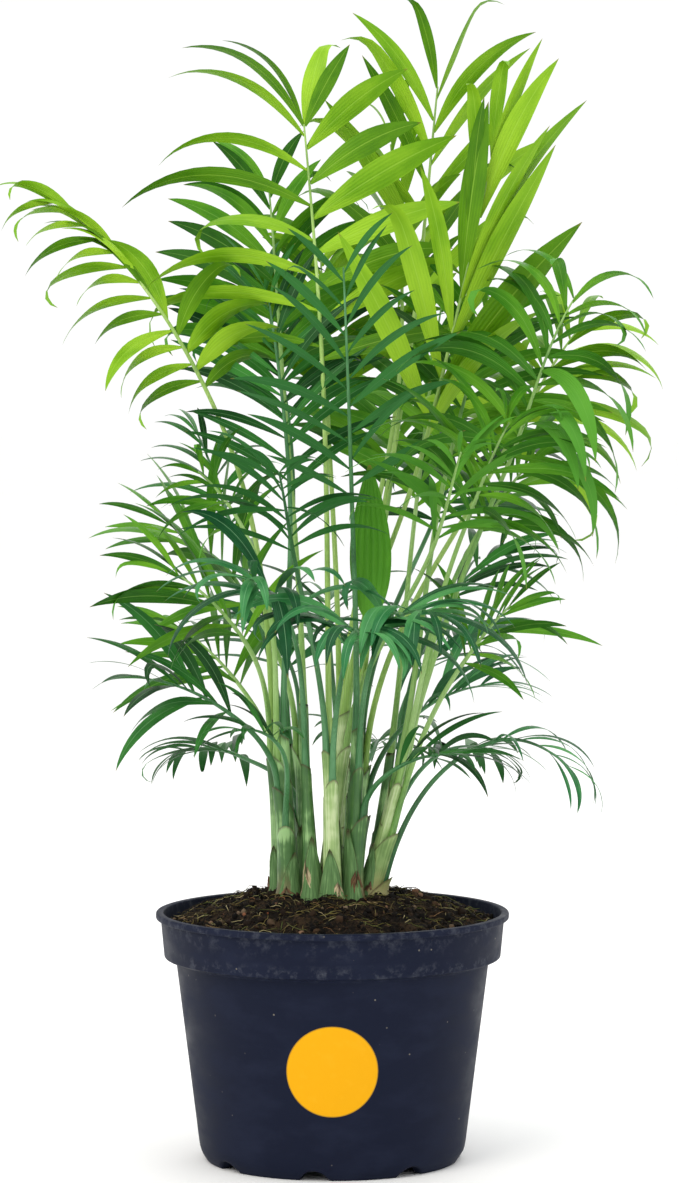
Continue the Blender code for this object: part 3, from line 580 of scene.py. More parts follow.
def leaflet_surface(leaves):
    """Upper and lower sheets of every leaflet, as one surface.

    With u from 0 at the base to 1 at the tip and x from -1 to 1 across: the middle line
    turns from its first direction towards the ground by bend u^1.5, and by its curl over
    the last part. Towards the ground means down, with 0.45 of its own way out and 0.12 of
    its face. The width's direction turns up to half way towards the axis of that bend.
    The half width is w/2 (0.14 (1 - u) + sin(pi u^1.15)^0.85 (1 - 0.2 u^4)), and the
    sheet folds down from its midrib by (0.10 + 0.45 e^(-u/0.07)) |x|, with a slow ripple
    along its edges."""
    u = np.linspace(0.0, 1.0, LEAF_ROWS) ** 0.92
    first = leaves["sets_off"]
    level_out = first * np.array([1.0, 1.0, 0.0])
    pull = -UP + 0.45 * level_out + 0.12 * leaves["normal"]
    pull = unit(pull - first * (pull * first).sum(axis=1, keepdims=True))
    turn = leaves["bend"][:, None] * u ** 1.5
    turn = np.minimum(turn, MOST_BEND)
    turn = turn + leaves["curl"][:, None] * smooth_step(u, CURL_FROM, 1.0)
    ahead = first[:, None] * np.cos(turn)[..., None] + pull[:, None] * np.sin(turn)[..., None]
    steps = np.diff(u)[None, :, None] * (ahead[:, 1:] + ahead[:, :-1]) / 2
    middle = np.concatenate([np.zeros_like(ahead[:, :1]), np.cumsum(steps, axis=1)], axis=1)
    middle = leaves["start"][:, None] + middle * leaves["length"][:, None, None]
    hinge = np.cross(first, pull)
    way = leaves["width_way"]
    hinge *= np.where((hinge * way).sum(axis=1, keepdims=True) < 0, -1.0, 1.0)
    total = np.clip((leaves["bend"] + leaves["curl"]) / 1.1, 0.0, 1.0)[:, None]
    twist = 0.5 * smooth_step(u[None], 0.0, 0.75) * total ** 1.5
    width_way = way[:, None] * (1 - twist[..., None]) + hinge[:, None] * twist[..., None]
    width_way = unit(width_way - ahead * (width_way * ahead).sum(axis=-1, keepdims=True))
    normal = np.cross(ahead, width_way)
    same = (normal[:, :1] * leaves["normal"][:, None]).sum(axis=-1, keepdims=True)
    normal = normal * np.where(same < 0, -1.0, 1.0)
    outline = 0.14 * (1 - u) + np.sin(np.pi * u ** 1.15) ** 0.85 * (1 - 0.20 * u ** 4)
    half = leaves["width"][:, None] / 2 * outline + LEAF_TIP
    fold = 0.10 + 0.45 * np.exp(-u / 0.07)
    wave = 0.05 * np.sin(leaves["ripple"][:, None] + 9.0 * u) * smooth_step(u, 0.1, 0.4)
    x = np.linspace(-1.0, 1.0, LEAF_COLUMNS)

    def side(lanes, depth):
        """One side of every leaflet, a depth above its middle surface at the midrib."""
        rise = (wave[..., None] - fold[None, :, None]) * np.abs(x)
        rise = rise * half[..., None] + depth * inside(LEAF_ROWS, LEAF_COLUMNS)
        points = middle[:, :, None] + width_way[:, :, None] * (half[..., None] * x)[..., None]
        points = points + normal[:, :, None] * rise[..., None]
        across = lane_places(lanes[:, None, None], x)
        return points, map_of(across, u[:, None], points.shape[:3])

    under_lane = TOP_LANES + leaves["lane"] % (LANES - TOP_LANES)
    upper = side(leaves["lane"], LEAF_THICKNESS / 2)
    under = side(under_lane, -LEAF_THICKNESS / 2)
    return merged([sheets(*upper, flipped=True), sheets(*under)])


# Runs of a stalk and of its rib, its sides, and how deep its channel is
STALK_RUNS = 22
RIB_RUNS = 34
STALK_SIDES = 10
CHANNEL = 0.22
# The part of a leaflet's length at the tip that the rib doesn't reach, the rib's last
# radius, and how far the spear's stalk runs on past its throat
RIBLESS = 0.58
RIB_END = 0.0006
SPEAR_RUN_ON = 0.004
# A side stalk's foot beside its usual radius, and the length in which a foot's swell falls
# to 1/e
SIDE_FOOT = 1.3
FOOT_SWELL = 0.018
# A side stalk's hidden lead inside its sheath: its runs, how far below the foot it starts
# and how far in, and the reach of its two controls
LEAD_RUNS = 6
LEAD_DROP = 0.030
LEAD_INWARD = 0.0046
LEAD_LEAVE = 0.012
LEAD_ARRIVE = 0.010


def stalk_surface(frond):
    """A frond's stalk and rib: a channelled tube that swells where it leaves the stem,
    narrows to the throat, and ends as a thread under the last leaflets."""
    rib = rib_of(frond, STALK_RUNS, RIB_RUNS)
    _, across, face = directions(frond, rib)
    travelled = travel(rib)
    throat = travelled[STALK_RUNS]
    end = travelled[-1] - RIBLESS * frond.leaf if frond.pairs else throat + SPEAR_RUN_ON
    keep = travelled <= end
    stem = STEMS[frond.stem]
    start_radius = stem.top_radius if frond.foot >= 1.0 else STALK_FOOT * SIDE_FOOT
    radii = np.interp(travelled, (0.0, throat, end), (STALK_FOOT, STALK_THROAT, RIB_END))
    radii += (start_radius - STALK_FOOT) * np.exp(-travelled / FOOT_SWELL)
    if frond.foot < 1.0:
        onward = foot_of(frond)[1]
        _, knee, top = stem_axis(stem)
        inward = unit(knee + (top - knee) * frond.foot - rib[0])
        sunk = rib[0] - onward * LEAD_DROP + inward * LEAD_INWARD
        leave = sunk + onward * LEAD_LEAVE
        lead = bezier(sunk, leave, rib[0] - onward * LEAD_ARRIVE, rib[0], LEAD_RUNS)[:-1]
        rib = np.vstack([lead, rib])
        across = np.vstack([np.repeat(across[:1], LEAD_RUNS, axis=0), across])
        face = np.vstack([np.repeat(face[:1], LEAD_RUNS, axis=0), face])
        radii = np.concatenate([np.full(LEAD_RUNS, radii[0]), radii])
        keep = np.concatenate([np.ones(LEAD_RUNS, dtype=bool), keep])
    points, uvs = tube(rib[keep], radii[keep], STALK_SIDES, across[keep], face[keep], CHANNEL)
    return sheets(points[None], uvs[None])


def stem_line(stem, heights):
    """Points on a stem's axis and its radius, with the flare at the cut, at heights."""
    foot, knee, top = stem_axis(stem)
    part = (heights - knee[2]) / (top[2] - knee[2])
    line = knee + (top - knee) * np.maximum(part, 0.0)[..., None]
    line[..., 2] = heights
    up = heights - foot[2]
    share = np.clip(up / (top[2] - foot[2]), -0.2, 1.0)
    radius = stem.foot_radius + (stem.top_radius - stem.foot_radius) * share
    swell = (STEM_FLARE - 1) * np.clip(1 - up / STEM_FLARE_HEIGHT, 0.0, 1.2) ** 2
    return line, radius * (1 + swell)


SHEATH_COLUMNS = 41
SHEATH_ROWS = 26
# How proud each sleeve stands of the one inside it, and how much its mouth flares
SHEATH_STEP = 0.00042
MOUTH_FLARE = 0.0003
# At the two last rows: how far they drop back from the mouth, and how far they turn in
MOUTH_SINK = (0.0006, 0.0020)
MOUTH_TURN_IN = (0.00035, 0.0011)
# The sleeve's ribs: how many round it, and their height
SHEATH_RIBS = 14
SHEATH_RIB_HEIGHT = 0.00007
# The metres below the mouth over which the map runs from 1 to 0
EDGE_SCALE = 0.15
# How the swell round a held stalk fades: in metres down, and in radians round the stem
SWELL_DROP = 0.030
SWELL_SPREAD = 0.75


def sheath_grid(stem, mouth_height, facing, notch, layer, root, swell=0.0):
    """One leaf sheath: a sleeve round the stem from below the mix to an oblique mouth.

    At angle a from its petiole's side the mouth stands at its height less the notch
    times ((1 - cos a) / 2)^0.7. The sleeve stands proud of the stem by its layer, swells
    round the stalk that it holds by e^(-depth/30 mm) e^(-(a/0.75)^2), and its last rows
    turn in. The map runs round the sleeve, and along it by distance from the mouth."""
    angle = np.linspace(0.0, math.tau, SHEATH_COLUMNS)
    mouth = mouth_height - notch * ((1 - np.cos(angle - facing)) / 2) ** 0.7
    s = np.concatenate([np.linspace(0.0, 1.0, SHEATH_ROWS - 2) ** 0.85, [1.0, 1.0]])
    plain = np.zeros(SHEATH_ROWS - 2)
    sink = np.concatenate([plain, MOUTH_SINK])
    heights = root + s[:, None] * (mouth - root)[None] - sink[:, None]
    line, radius = stem_line(stem, heights)
    proud = layer * SHEATH_STEP + MOUTH_FLARE * smooth_step(s, 0.75, 0.97)[:, None]
    turned_in = np.concatenate([plain, MOUTH_TURN_IN])[:, None]
    ribs = SHEATH_RIB_HEIGHT * np.sin(SHEATH_RIBS * angle + layer * 2.1)[None]
    turn = (angle - facing + math.pi) % math.tau - math.pi
    held = swell * np.exp((heights - mouth_height) / SWELL_DROP)
    held = held * np.exp(-(turn / SWELL_SPREAD) ** 2)
    radius = radius + proud - turned_in + ribs + held
    points = line + turned(1.0, angle, 0.0)[None] * radius[..., None]
    distance = (mouth[None] - heights) / EDGE_SCALE
    return points, map_of(angle / math.tau, 1 - distance, heights.shape)


# How deep a sleeve starts in the mix, how far its mouth stands above the stem's top or
# the stalk's foot, how oblique the mouth is, and the swell round a side stalk
SHEATH_ROOT = 0.004
TOP_MOUTH = 0.003
TOP_NOTCH = 0.004
SIDE_MOUTH = 0.004
SIDE_NOTCH = 0.022
SIDE_SWELL = 0.0054


def sheaths_of(name, stem):
    """The sleeves of one stem: the innermost to its top, and one for each side frond,
    whose mouth is highest where that frond's stalk leaves."""
    _, knee, top = stem_axis(stem)
    root = SOIL_TOP - SHEATH_ROOT
    facing = math.atan2(top[1], top[0])
    grids = [sheath_grid(stem, top[2] + TOP_MOUTH, facing, TOP_NOTCH, 0, root)]
    sides = [frond for frond in FRONDS.values() if frond.stem == name and frond.foot < 1.0]
    for layer, frond in enumerate(sorted(sides, key=lambda frond: -frond.foot), start=1):
        foot, _ = foot_of(frond)
        axis = knee + (top - knee) * frond.foot
        facing = math.atan2(foot[1] - axis[1], foot[0] - axis[0])
        mouth = foot[2] + SIDE_MOUTH
        grids.append(sheath_grid(stem, mouth, facing, SIDE_NOTCH, layer, root, SIDE_SWELL))
    return grids


CELL_MARGIN = 0.03


def atlas(count, rows, columns):
    """Map places that give each of many equal grids its own cell of a square."""
    cells = math.ceil(math.sqrt(count))
    index = np.arange(count)[:, None, None]
    x = np.linspace(CELL_MARGIN, 1 - CELL_MARGIN, columns) + index % cells
    y = np.linspace(CELL_MARGIN, 1 - CELL_MARGIN, rows)[:, None] + index // cells
    return map_of(x, y, (count, rows, columns)) / cells


BRACT_ROWS = 14
BRACT_COLUMNS = 11
# How deep a scrap starts in the mix, how much further out its top stands than its foot,
# how high its crinkles are, and how thick it is
BRACT_ROOT = 0.002
BRACT_LEAN = 0.0020
CRINKLE = 0.0004
BRACT_THICK = 0.00025
# How ragged a dry and a green scrap are, as a share of their height, and how proud
DRY_RAGGED = 0.25
GREEN_RAGGED = 0.04
DRY_PROUD = 0.0013
GREEN_PROUD = 0.0021

# Old sheaths at the stems' feet: stem, the way it faces, how tall, how much of a turn it
# covers, and whether it is cream (0), brown (1) or still green (2)
Bract = namedtuple("Bract", "stem facing height cover tone")
BRACTS = (
    Bract("stem_left", 250, 0.030, 110, 0),
    Bract("stem_front_right", 285, 0.024, 130, 1),
    Bract("stem_dark_left", 262, 0.011, 150, 1),
    Bract("stem_right", 255, 0.014, 120, 1),
    Bract("stem_front", 300, 0.016, 110, 0),
    Bract("stem_pale", 240, 0.028, 100, 1),
    Bract("stem_far_left", 170, 0.014, 140, 1),
    Bract("stem_back_left", 120, 0.026, 120, 0),
    Bract("stem_rear_left", 140, 0.022, 120, 1),
    Bract("stem_rear", 90, 0.027, 120, 0),
    Bract("stem_rear_right", 50, 0.020, 130, 1),
    Bract("stem_middle", 40, 0.024, 110, 1),
    Bract("stem_left", 285, 0.046, 150, 2),
    Bract("stem_front", 262, 0.038, 170, 2),
    Bract("stem_front_right", 240, 0.052, 160, 2),
    Bract("stem_dark_left", 300, 0.034, 170, 2),
    Bract("stem_pale", 290, 0.058, 170, 2),
    Bract("stem_right", 220, 0.040, 160, 2),
    Bract("stem_back_left", 250, 0.050, 170, 2),
    Bract("stem_middle", 300, 0.044, 170, 2),
    Bract("stem_rear_left", 75, 0.040, 170, 2),
    Bract("stem_rear", 100, 0.046, 170, 2),
    Bract("stem_rear_right", 20, 0.036, 170, 2),
    Bract("stem_far_left", 250, 0.036, 170, 2),
)


def bract_grids(bract, seed):
    """A dry, torn scrap of sheath round the foot of a stem, as two sheets back to back.

    At s of its height it reaches half of its cover times (1 - 0.93 s^1.3) to each side,
    and its top is torn into points by two sines of unlike pitch, whose product is scaled
    by its raggedness. It stands away from the stem by its lean times s^2."""
    rng = np.random.default_rng(seed)
    stem = STEMS[bract.stem]
    x = np.linspace(-1.0, 1.0, BRACT_COLUMNS)
    s = np.linspace(0.0, 1.0, BRACT_ROWS)[:, None]
    phase = rng.uniform(0, math.tau, 3)
    ragged, proud = (GREEN_RAGGED, GREEN_PROUD) if bract.tone == 2 else (DRY_RAGGED, DRY_PROUD)
    torn = 1 - ragged + ragged * np.sin(7 * x + phase[0]) * np.sin(4.3 * x + phase[1])
    heights = SOIL_TOP - BRACT_ROOT + bract.height * s * torn[None]
    facing, cover = np.radians([bract.facing, bract.cover])
    angle = facing + cover / 2 * x * (1 - 0.93 * s ** 1.3)
    line, radius = stem_line(stem, heights)
    crinkle = CRINKLE * np.sin(11 * x[None] + 6 * s + phase[2])
    radius = radius + proud + BRACT_LEAN * s ** 2 + crinkle
    uvs = map_of((x * 0.98 + 1 + 2 * bract.tone) / 6, s, angle.shape)
    ring = turned(1.0, angle, 0.0)
    outer = line + ring * radius[..., None]
    inner = line + ring * (radius - BRACT_THICK * inside(*radius.shape))[..., None]
    return [(outer, uvs), (inner[:, ::-1], uvs[:, ::-1])]


def lumps(places, scale, height, waves, seed):
    """Rolling height at each place (x, y): the height times a sum of sines in random
    directions over the root of their number. Their wavelengths are 0.7 to 1.5 times the
    scale."""
    rng = np.random.default_rng(seed)
    heading = rng.uniform(0, math.tau, waves)
    pitch = math.tau / (scale * rng.uniform(0.7, 1.5, waves))
    phase = rng.uniform(0, math.tau, waves)
    across = np.stack([np.cos(heading), np.sin(heading)]) * pitch
    return height * np.sin(places @ across + phase).sum(axis=-1) / math.sqrt(waves)


# The mound, as the solid has it: (radius, height) of its shoulder and of its edge, and
# the radius of its crown
SOIL_CROWN_RADIUS = 0.0500
SOIL_SHOULDER = 0.1720
SOIL_SHOULDER_RADIUS = 0.0850
SOIL_EDGE = 0.1600
SOIL_RADIUS = 0.1143
# How far the crown is rounded off, and how deep the drawn edge goes down at the wall
CROWN_DROP = 0.0012
SOIL_SKIRT = 0.015
# Lumps from broad to fine: their wavelength, their height, and how many waves make them
SOIL_LUMPS = (
    (0.030, 0.0012, 14),
    (0.011, 0.0010, 24),
    (0.0045, 0.0006, 36),
    (0.0022, 0.00035, 48),
)
SOIL_ROWS = 170
SOIL_COLUMNS = 361


def soil_height(places):
    """The mound's height at each place (x, y): level on the crown, straight down to the
    shoulder and to the edge, with lumps down to a few millimetres."""
    radius = np.linalg.norm(places, axis=-1)
    crown = SOIL_CROWN_RADIUS
    knots = (0.0, crown * 0.8, crown * 1.15, SOIL_SHOULDER_RADIUS, SOIL_RADIUS)
    levels = (SOIL_TOP, SOIL_TOP, SOIL_TOP - CROWN_DROP, SOIL_SHOULDER, SOIL_EDGE)
    height = np.interp(radius, knots, levels)
    for seed, (scale, rise, waves) in enumerate(SOIL_LUMPS, start=1):
        height += lumps(places, scale, rise, waves, seed)
    return height


def soil_surface():
    """The top of the mix as rings from its middle to the wall, then down a little."""
    radius = np.concatenate([np.linspace(0.0, SOIL_RADIUS, SOIL_ROWS - 1), [SOIL_RADIUS]])
    angle = np.linspace(0.0, math.tau, SOIL_COLUMNS)
    places = turned(radius[:, None], angle, 0.0)[..., :2]
    height = soil_height(places)
    height[-1] -= SOIL_SKIRT
    points = np.concatenate([places, height[..., None]], axis=-1)
    return sheets(points[None, ::-1], (places / (2 * SOIL_RADIUS) + 0.5)[None, ::-1])


def pebble():
    """A cube's surface, three points to an edge, pulled out to a ball: 26 points."""
    steps = np.array([-1.0, 0.0, 1.0])
    cube = np.stack(np.meshgrid(steps, steps, steps, indexing="ij"), axis=-1).reshape(-1, 3)
    outside = np.abs(cube).max(axis=1) > 0.5
    number = np.cumsum(outside) - 1
    quads = []
    for axis in range(3):
        for level in (0, 2):
            sheet = np.moveaxis(np.arange(27).reshape(3, 3, 3), axis, 0)[level]
            ring = [sheet[:-1, :-1], sheet[1:, :-1], sheet[1:, 1:], sheet[:-1, 1:]]
            face = np.stack(ring, axis=-1).reshape(-1, 4)
            flip = (level == 0) == (axis != 1)
            quads.append(face[:, ::-1] if flip else face)
    return unit(cube[outside]), number[np.concatenate(quads)]


def turns(count, rng):
    """Random turns in space, each a turn about Y, then X, then Z."""
    turn = np.zeros((3, 3, 3, count))
    for axis, angle in zip((2, 0, 1), rng.uniform(0, math.tau, (3, count))):
        first, second = (axis + 1) % 3, (axis + 2) % 3
        turn[axis, axis, axis] = 1.0
        turn[axis, first, first] = turn[axis, second, second] = np.cos(angle)
        turn[axis, second, first] = np.sin(angle)
        turn[axis, first, second] = -np.sin(angle)
    return np.einsum("ijn,jkn,kln->nil", turn[2], turn[0], turn[1])


def scattered(count, rng, most):
    """Places (x, y) spread evenly over the mix, up to a part of its radius."""
    radius = SOIL_RADIUS * np.sqrt(rng.uniform(0.0, most ** 2, count))
    angle = rng.uniform(0, math.tau, count)
    return turned(radius, angle, 0.0)[:, :2]


# How far out crumbs lie, as a part of the mix's radius, and how far each one's centre is
# above the mix, as a part of its size. Then how they stretch, and how rough they are.
CRUMB_REACH = 0.97
CRUMB_RISE = 0.15
CRUMB_STRETCH = (0.55, 1.3)
CRUMB_ROUGHNESS = 0.16


def crumb_surface(count, seed, low, high):
    """Crumbs between two sizes, most of them small, as a draw to the power of 2.5: the
    ball of 26 points stretched, roughened and turned, each nearly half sunk in the mix."""
    rng = np.random.default_rng(seed)
    ball, quads = pebble()
    size = low + (high - low) * rng.random(count) ** 2.5
    stretch = rng.uniform(*CRUMB_STRETCH, (count, 1, 3))
    rough = 1 + rng.normal(0, CRUMB_ROUGHNESS, (count, len(ball), 1))
    shape = np.einsum("nij,nkj->nki", turns(count, rng), ball[None] * stretch * rough)
    places = scattered(count, rng, CRUMB_REACH)
    height = soil_height(places) + size * CRUMB_RISE
    centre = np.concatenate([places, height[:, None]], axis=-1)
    points = centre[:, None] + shape * (size / 2)[:, None, None]
    return copies(points, quads, map_of(rng.random(count)[:, None], 0.5, points.shape[:2]))


STRAW_ROWS = 8
STRAW_SIDES = 4
# How much straws curve, in radians, how far out they are kept, as a part of the mix's
# radius, how high one end is lifted, and how high the middle arches
STRAW_CURVE = 1.2
STRAW_LIMIT = 0.975
STRAW_LIFT = (0.0, 0.0035)
STRAW_ARCH = (0.0004, 0.0022)


def fibre_surface(count, seed, length, thick, most):
    """Curved threads lying on the mix: a bent line, lifted at one end, as a thin tube
    of four sides. At t from -1/2 to 1/2 of its length it is raised by its lift times
    (t + 1/2)^2 and its arch times 1 - 4 t^2, and its width is its own times
    1 - (2 t)^4. Its height follows half the mix under it and half that at its middle."""
    rng = np.random.default_rng(seed)
    t = np.linspace(-0.5, 0.5, STRAW_ROWS)
    places = scattered(count, rng, most)
    long = rng.uniform(*length, count)
    turn = rng.uniform(0, math.tau, count)
    curve = rng.normal(0, STRAW_CURVE, count)
    heading = turn[:, None] + curve[:, None] * t[None]
    step = turned(1.0, heading, 0.0)[..., :2] * (long / STRAW_ROWS)[:, None, None]
    flat = places[:, None] + np.cumsum(step, axis=1) - step.sum(axis=1, keepdims=True) / 2
    reach = np.linalg.norm(flat, axis=-1, keepdims=True)
    flat = flat * np.minimum(1.0, SOIL_RADIUS * STRAW_LIMIT / reach)
    lift = rng.uniform(*STRAW_LIFT, count)[:, None] * (t + 0.5)[None] ** 2
    arch = rng.uniform(*STRAW_ARCH, count)[:, None] * (1 - (2 * t) ** 2)[None]
    height = soil_height(flat) * 0.5 + soil_height(flat.mean(axis=1))[:, None] * 0.5
    line = np.concatenate([flat, (height + lift + arch)[..., None]], axis=-1)
    along = unit(np.gradient(line, axis=1))
    side = unit(np.cross(along, UP))
    over = np.cross(side, along)
    angle = np.linspace(0.0, math.tau, STRAW_SIDES + 1)
    width = rng.uniform(*thick, count)[:, None] / 2 * (1 - (2 * t[None]) ** 4)
    ring = side[:, :, None] * np.cos(angle)[:, None] + over[:, :, None] * np.sin(angle)[:, None]
    points = line[:, :, None] + ring * width[..., None, None]
    lane = rng.random(count)[:, None, None]
    return sheets(points, map_of(lane, (t + 0.5)[:, None], points.shape[:3]), flipped=True)


# Pot profile, as the solid has it
LIP_DEPTH = 0.0045
BAND_TOP_RADIUS = 0.1174
BAND_FOOT_RADIUS = 0.1149
BAND_FOOT = 0.1392
BODY_TOP_RADIUS = 0.1070
BODY_TOP = 0.1372
BODY_FOOT_RADIUS = 0.0907
BODY_MIDDLE = 0.0680
BODY_FOOT = 0.0070
BASE_RADIUS = 0.0862
WALL = 0.0020
FLOOR_UNDERSIDE = 0.0080
SKIRT_RADIUS = 0.0800
PAD_RADIUS = 0.0200
FLOOR_TOP = 0.0105
NOTCH_COUNT = 8
NOTCH_WIDTH = 0.020
NOTCH_HEIGHT = 0.0070
FIRST_NOTCH = math.radians(262)
# Points on each rounded corner and round the pot, and how far inside the skirt's wall a
# row may be and still meet a notch
CORNER_STEPS = 7
POT_COLUMNS = 385
SKIRT_MARGIN = 0.001


def body_radius(height):
    """The pot's outer radius at a height on its body: straight from its base to its foot,
    and straight on to its top."""
    radii = (BASE_RADIUS, BODY_FOOT_RADIUS, BODY_TOP_RADIUS)
    return np.interp(height, (0.0, BODY_FOOT, BODY_TOP), radii)


def rounded(corners, steps):
    """A line through corners (radius, height, rounding), each but the ends replaced by a
    curve that starts and ends its rounding away, or 0.48 of the way to the next corner if
    that is nearer: the quadratic with the corner as its control."""
    corners = np.array(corners)
    places = corners[:, :2]
    line = [places[0]]
    t = np.linspace(0.0, 1.0, steps)[:, None]
    for before, corner, after in zip(places[:-2], corners[1:-1], places[2:]):
        corner, rounding = corner[:2], corner[2]
        start, end = (
            corner + unit(far - corner) * min(rounding, np.linalg.norm(far - corner) * 0.48)
            for far in (before, after))
        line.extend(start * (1 - t) ** 2 + corner * 2 * t * (1 - t) + end * t ** 2)
    line.append(places[-1])
    return np.array(line)


def pot_surface():
    """The pot's skin: a rounded profile turned about Z, from the middle of its floor, up
    inside, over the rolled lip, down the band and the body, and under to the middle.

    Heights below a notch's arch are lifted to it: the arch is a circle through its width
    and its height, and only the skirt's rows are low enough to meet it."""
    lip_foot = RIM_TOP - LIP_DEPTH
    corners = (
        (0.0, FLOOR_TOP, 0.0),
        (float(body_radius(FLOOR_TOP)) - WALL, FLOOR_TOP, 0.0020),
        (BODY_TOP_RADIUS - WALL, BODY_TOP, 0.0010),
        (BAND_FOOT_RADIUS - WALL, BAND_FOOT + WALL, 0.0010),
        (BAND_TOP_RADIUS - WALL, RIM_TOP, 0.0012),
        (LIP_RADIUS, RIM_TOP, 0.0016),
        (LIP_RADIUS, lip_foot, 0.0014),
        (BAND_TOP_RADIUS, lip_foot, 0.0010),
        (BAND_FOOT_RADIUS, BAND_FOOT, 0.0012),
        (BODY_TOP_RADIUS, BODY_TOP, 0.0015),
        (float(body_radius(BODY_MIDDLE)), BODY_MIDDLE, 0.0100),
        (BODY_FOOT_RADIUS, BODY_FOOT, 0.0060),
        (BASE_RADIUS, 0.0, 0.0008),
        (SKIRT_RADIUS, 0.0, 0.0008),
        (SKIRT_RADIUS, FLOOR_UNDERSIDE, 0.0010),
        (PAD_RADIUS, FLOOR_UNDERSIDE, 0.0010),
        (PAD_RADIUS, 0.0, 0.0008),
        (0.0, 0.0, 0.0),
    )
    profile = rounded(corners, CORNER_STEPS)
    angle = np.linspace(0.0, math.tau, POT_COLUMNS)
    radius = profile[:, :1] * np.ones_like(angle)
    height = profile[:, 1:] * np.ones_like(angle)
    pitch = math.tau / NOTCH_COUNT
    off = (angle - FIRST_NOTCH + pitch / 2) % pitch - pitch / 2
    arch_radius = ((NOTCH_WIDTH / 2) ** 2 + NOTCH_HEIGHT ** 2) / (2 * NOTCH_HEIGHT)
    across = off * BASE_RADIUS
    arch = np.sqrt(np.maximum(arch_radius ** 2 - across ** 2, 0.0)) - arch_radius + NOTCH_HEIGHT
    arch = np.maximum(arch, 0.0)[None]
    skirt = (radius > SKIRT_RADIUS - SKIRT_MARGIN) & (height < arch)
    height = np.where(skirt, arch, height)
    radius = np.where(skirt & (radius > body_radius(height)), body_radius(height), radius)
    length = travel(profile)
    uvs = map_of(angle / math.tau, (length / length[-1])[:, None], radius.shape)
    return sheets(turned(radius, angle, height)[None], uvs[None], flipped=True)


LABEL_HEIGHT = 0.0755
LABEL_THICK = 0.0002
LABEL_ROWS = 26
LABEL_COLUMNS = 145
# The sticker's radius on its map
LABEL_MAP_RADIUS = 0.47


def label_surface(label_radius):
    """A plain round sticker wrapped on the body: rings out from its middle at a fixed
    thickness, the last two turned down to the wall. Its map is its own disc."""
    ring = np.concatenate([np.linspace(0.0, 1.0, LABEL_ROWS - 1), [1.0]])
    disc = turned(ring[:, None], np.linspace(0.0, math.tau, LABEL_COLUMNS), 0.0)[..., :2]
    across = label_radius * disc[..., 0]
    height = LABEL_HEIGHT + label_radius * disc[..., 1]
    proud = np.full(LABEL_ROWS, LABEL_THICK)
    proud[-2:] = LABEL_THICK * 0.6, -LABEL_THICK
    radius = body_radius(height)
    points = turned(radius + proud[:, None], -math.pi / 2 + across / radius, height)
    return sheets(points[None], (0.5 + LABEL_MAP_RADIUS * disc)[None], flipped=True)


def linear(code):
    """A hex sRGB colour as linear red, green, blue and alpha, by the sRGB curve: c / 12.92
    up to 0.04045, and ((c + 0.055) / 1.055)^2.4 above."""
    levels = [int(code[place:place + 2], 16) / 255 for place in (1, 3, 5)]
    rgb = [c / 12.92 if c <= 0.04045 else ((c + 0.055) / 1.055) ** 2.4 for c in levels]
    return (*rgb, 1.0)


def connect(tree, node, inputs):
    """Sets each input of a node to a value, or links it to a socket or to a node's first
    live output. A hex code is turned to linear. By number, a Math node's inputs are 0 to
    2. A Map Range takes its value at 0, its ends at 1 and 2, and what they become at 3
    and 4, which are 0 and 1 unless set. A Mix takes its share at 0 and its two colours at
    6 and 7."""
    for key, value in inputs.items():
        if isinstance(value, bpy.types.Node):
            value = next(socket for socket in value.outputs if socket.enabled)
        if isinstance(value, bpy.types.NodeSocket):
            tree.links.new(value, node.inputs[key])
        else:
            node.inputs[key].default_value = linear(value) if isinstance(value, str) else value


def add(tree, kind, inputs, settings=(), stops=()):
    """A shader node with its inputs and settings, and its ramp's stops as (position,
    colour), a colour being linear or a hex code."""
    made = tree.nodes.new("ShaderNode" + kind)
    for key, value in dict(settings).items():
        setattr(made, key, value)
    connect(tree, made, inputs)
    if stops:
        elements = made.color_ramp.elements
        while len(elements) < len(stops):
            elements.new(1.0)
        for element, (position, colour) in zip(elements, stops):
            element.position = position
            element.color = linear(colour) if isinstance(colour, str) else colour
    return made


def blank(name):
    """A new material, its tree and its Principled node."""
    made = bpy.data.materials.new(name)
    made.use_nodes = True
    return made, made.node_tree, made.node_tree.nodes["Principled BSDF"]


def every(millimetres):
    """The scale at which a pattern in object coordinates repeats at that distance."""
    return 1000 / millimetres


# Settings that many nodes share
TIMES = {"operation": "MULTIPLY"}
TIMES_PLUS = {"operation": "MULTIPLY_ADD"}
ABOVE = {"operation": "GREATER_THAN"}
HIGHER = {"operation": "MAXIMUM"}
FRACTION = {"operation": "FRACT"}
ZIGZAG = {"operation": "PINGPONG"}
COLOURS = {"data_type": "RGBA"}
SMOOTH = {"interpolation_type": "SMOOTHSTEP"}
SURFACE_MAP = {"uv_map": "surface"}

# A leaflet's width and the distance from vein to vein. Real veins lie closer and would
# not show, so these are as coarse as they need to be.
LEAFLET_MM = 14.0
VEIN_MM = 1.75
VEINS_PER_HALF = LEAFLET_MM / 2 / VEIN_MM
VEIN_HEIGHT = 0.00025
# Soft blotches: how many lie in a leaflet's width, how many times as many in its length,
# and how far along the pattern the next lane's leaflet lies
BLOTCHES = 1.1
BLOTCHES_ALONG = 2.6
LANE_STEP = 5.3
DRY_TIP = "#8a7034"

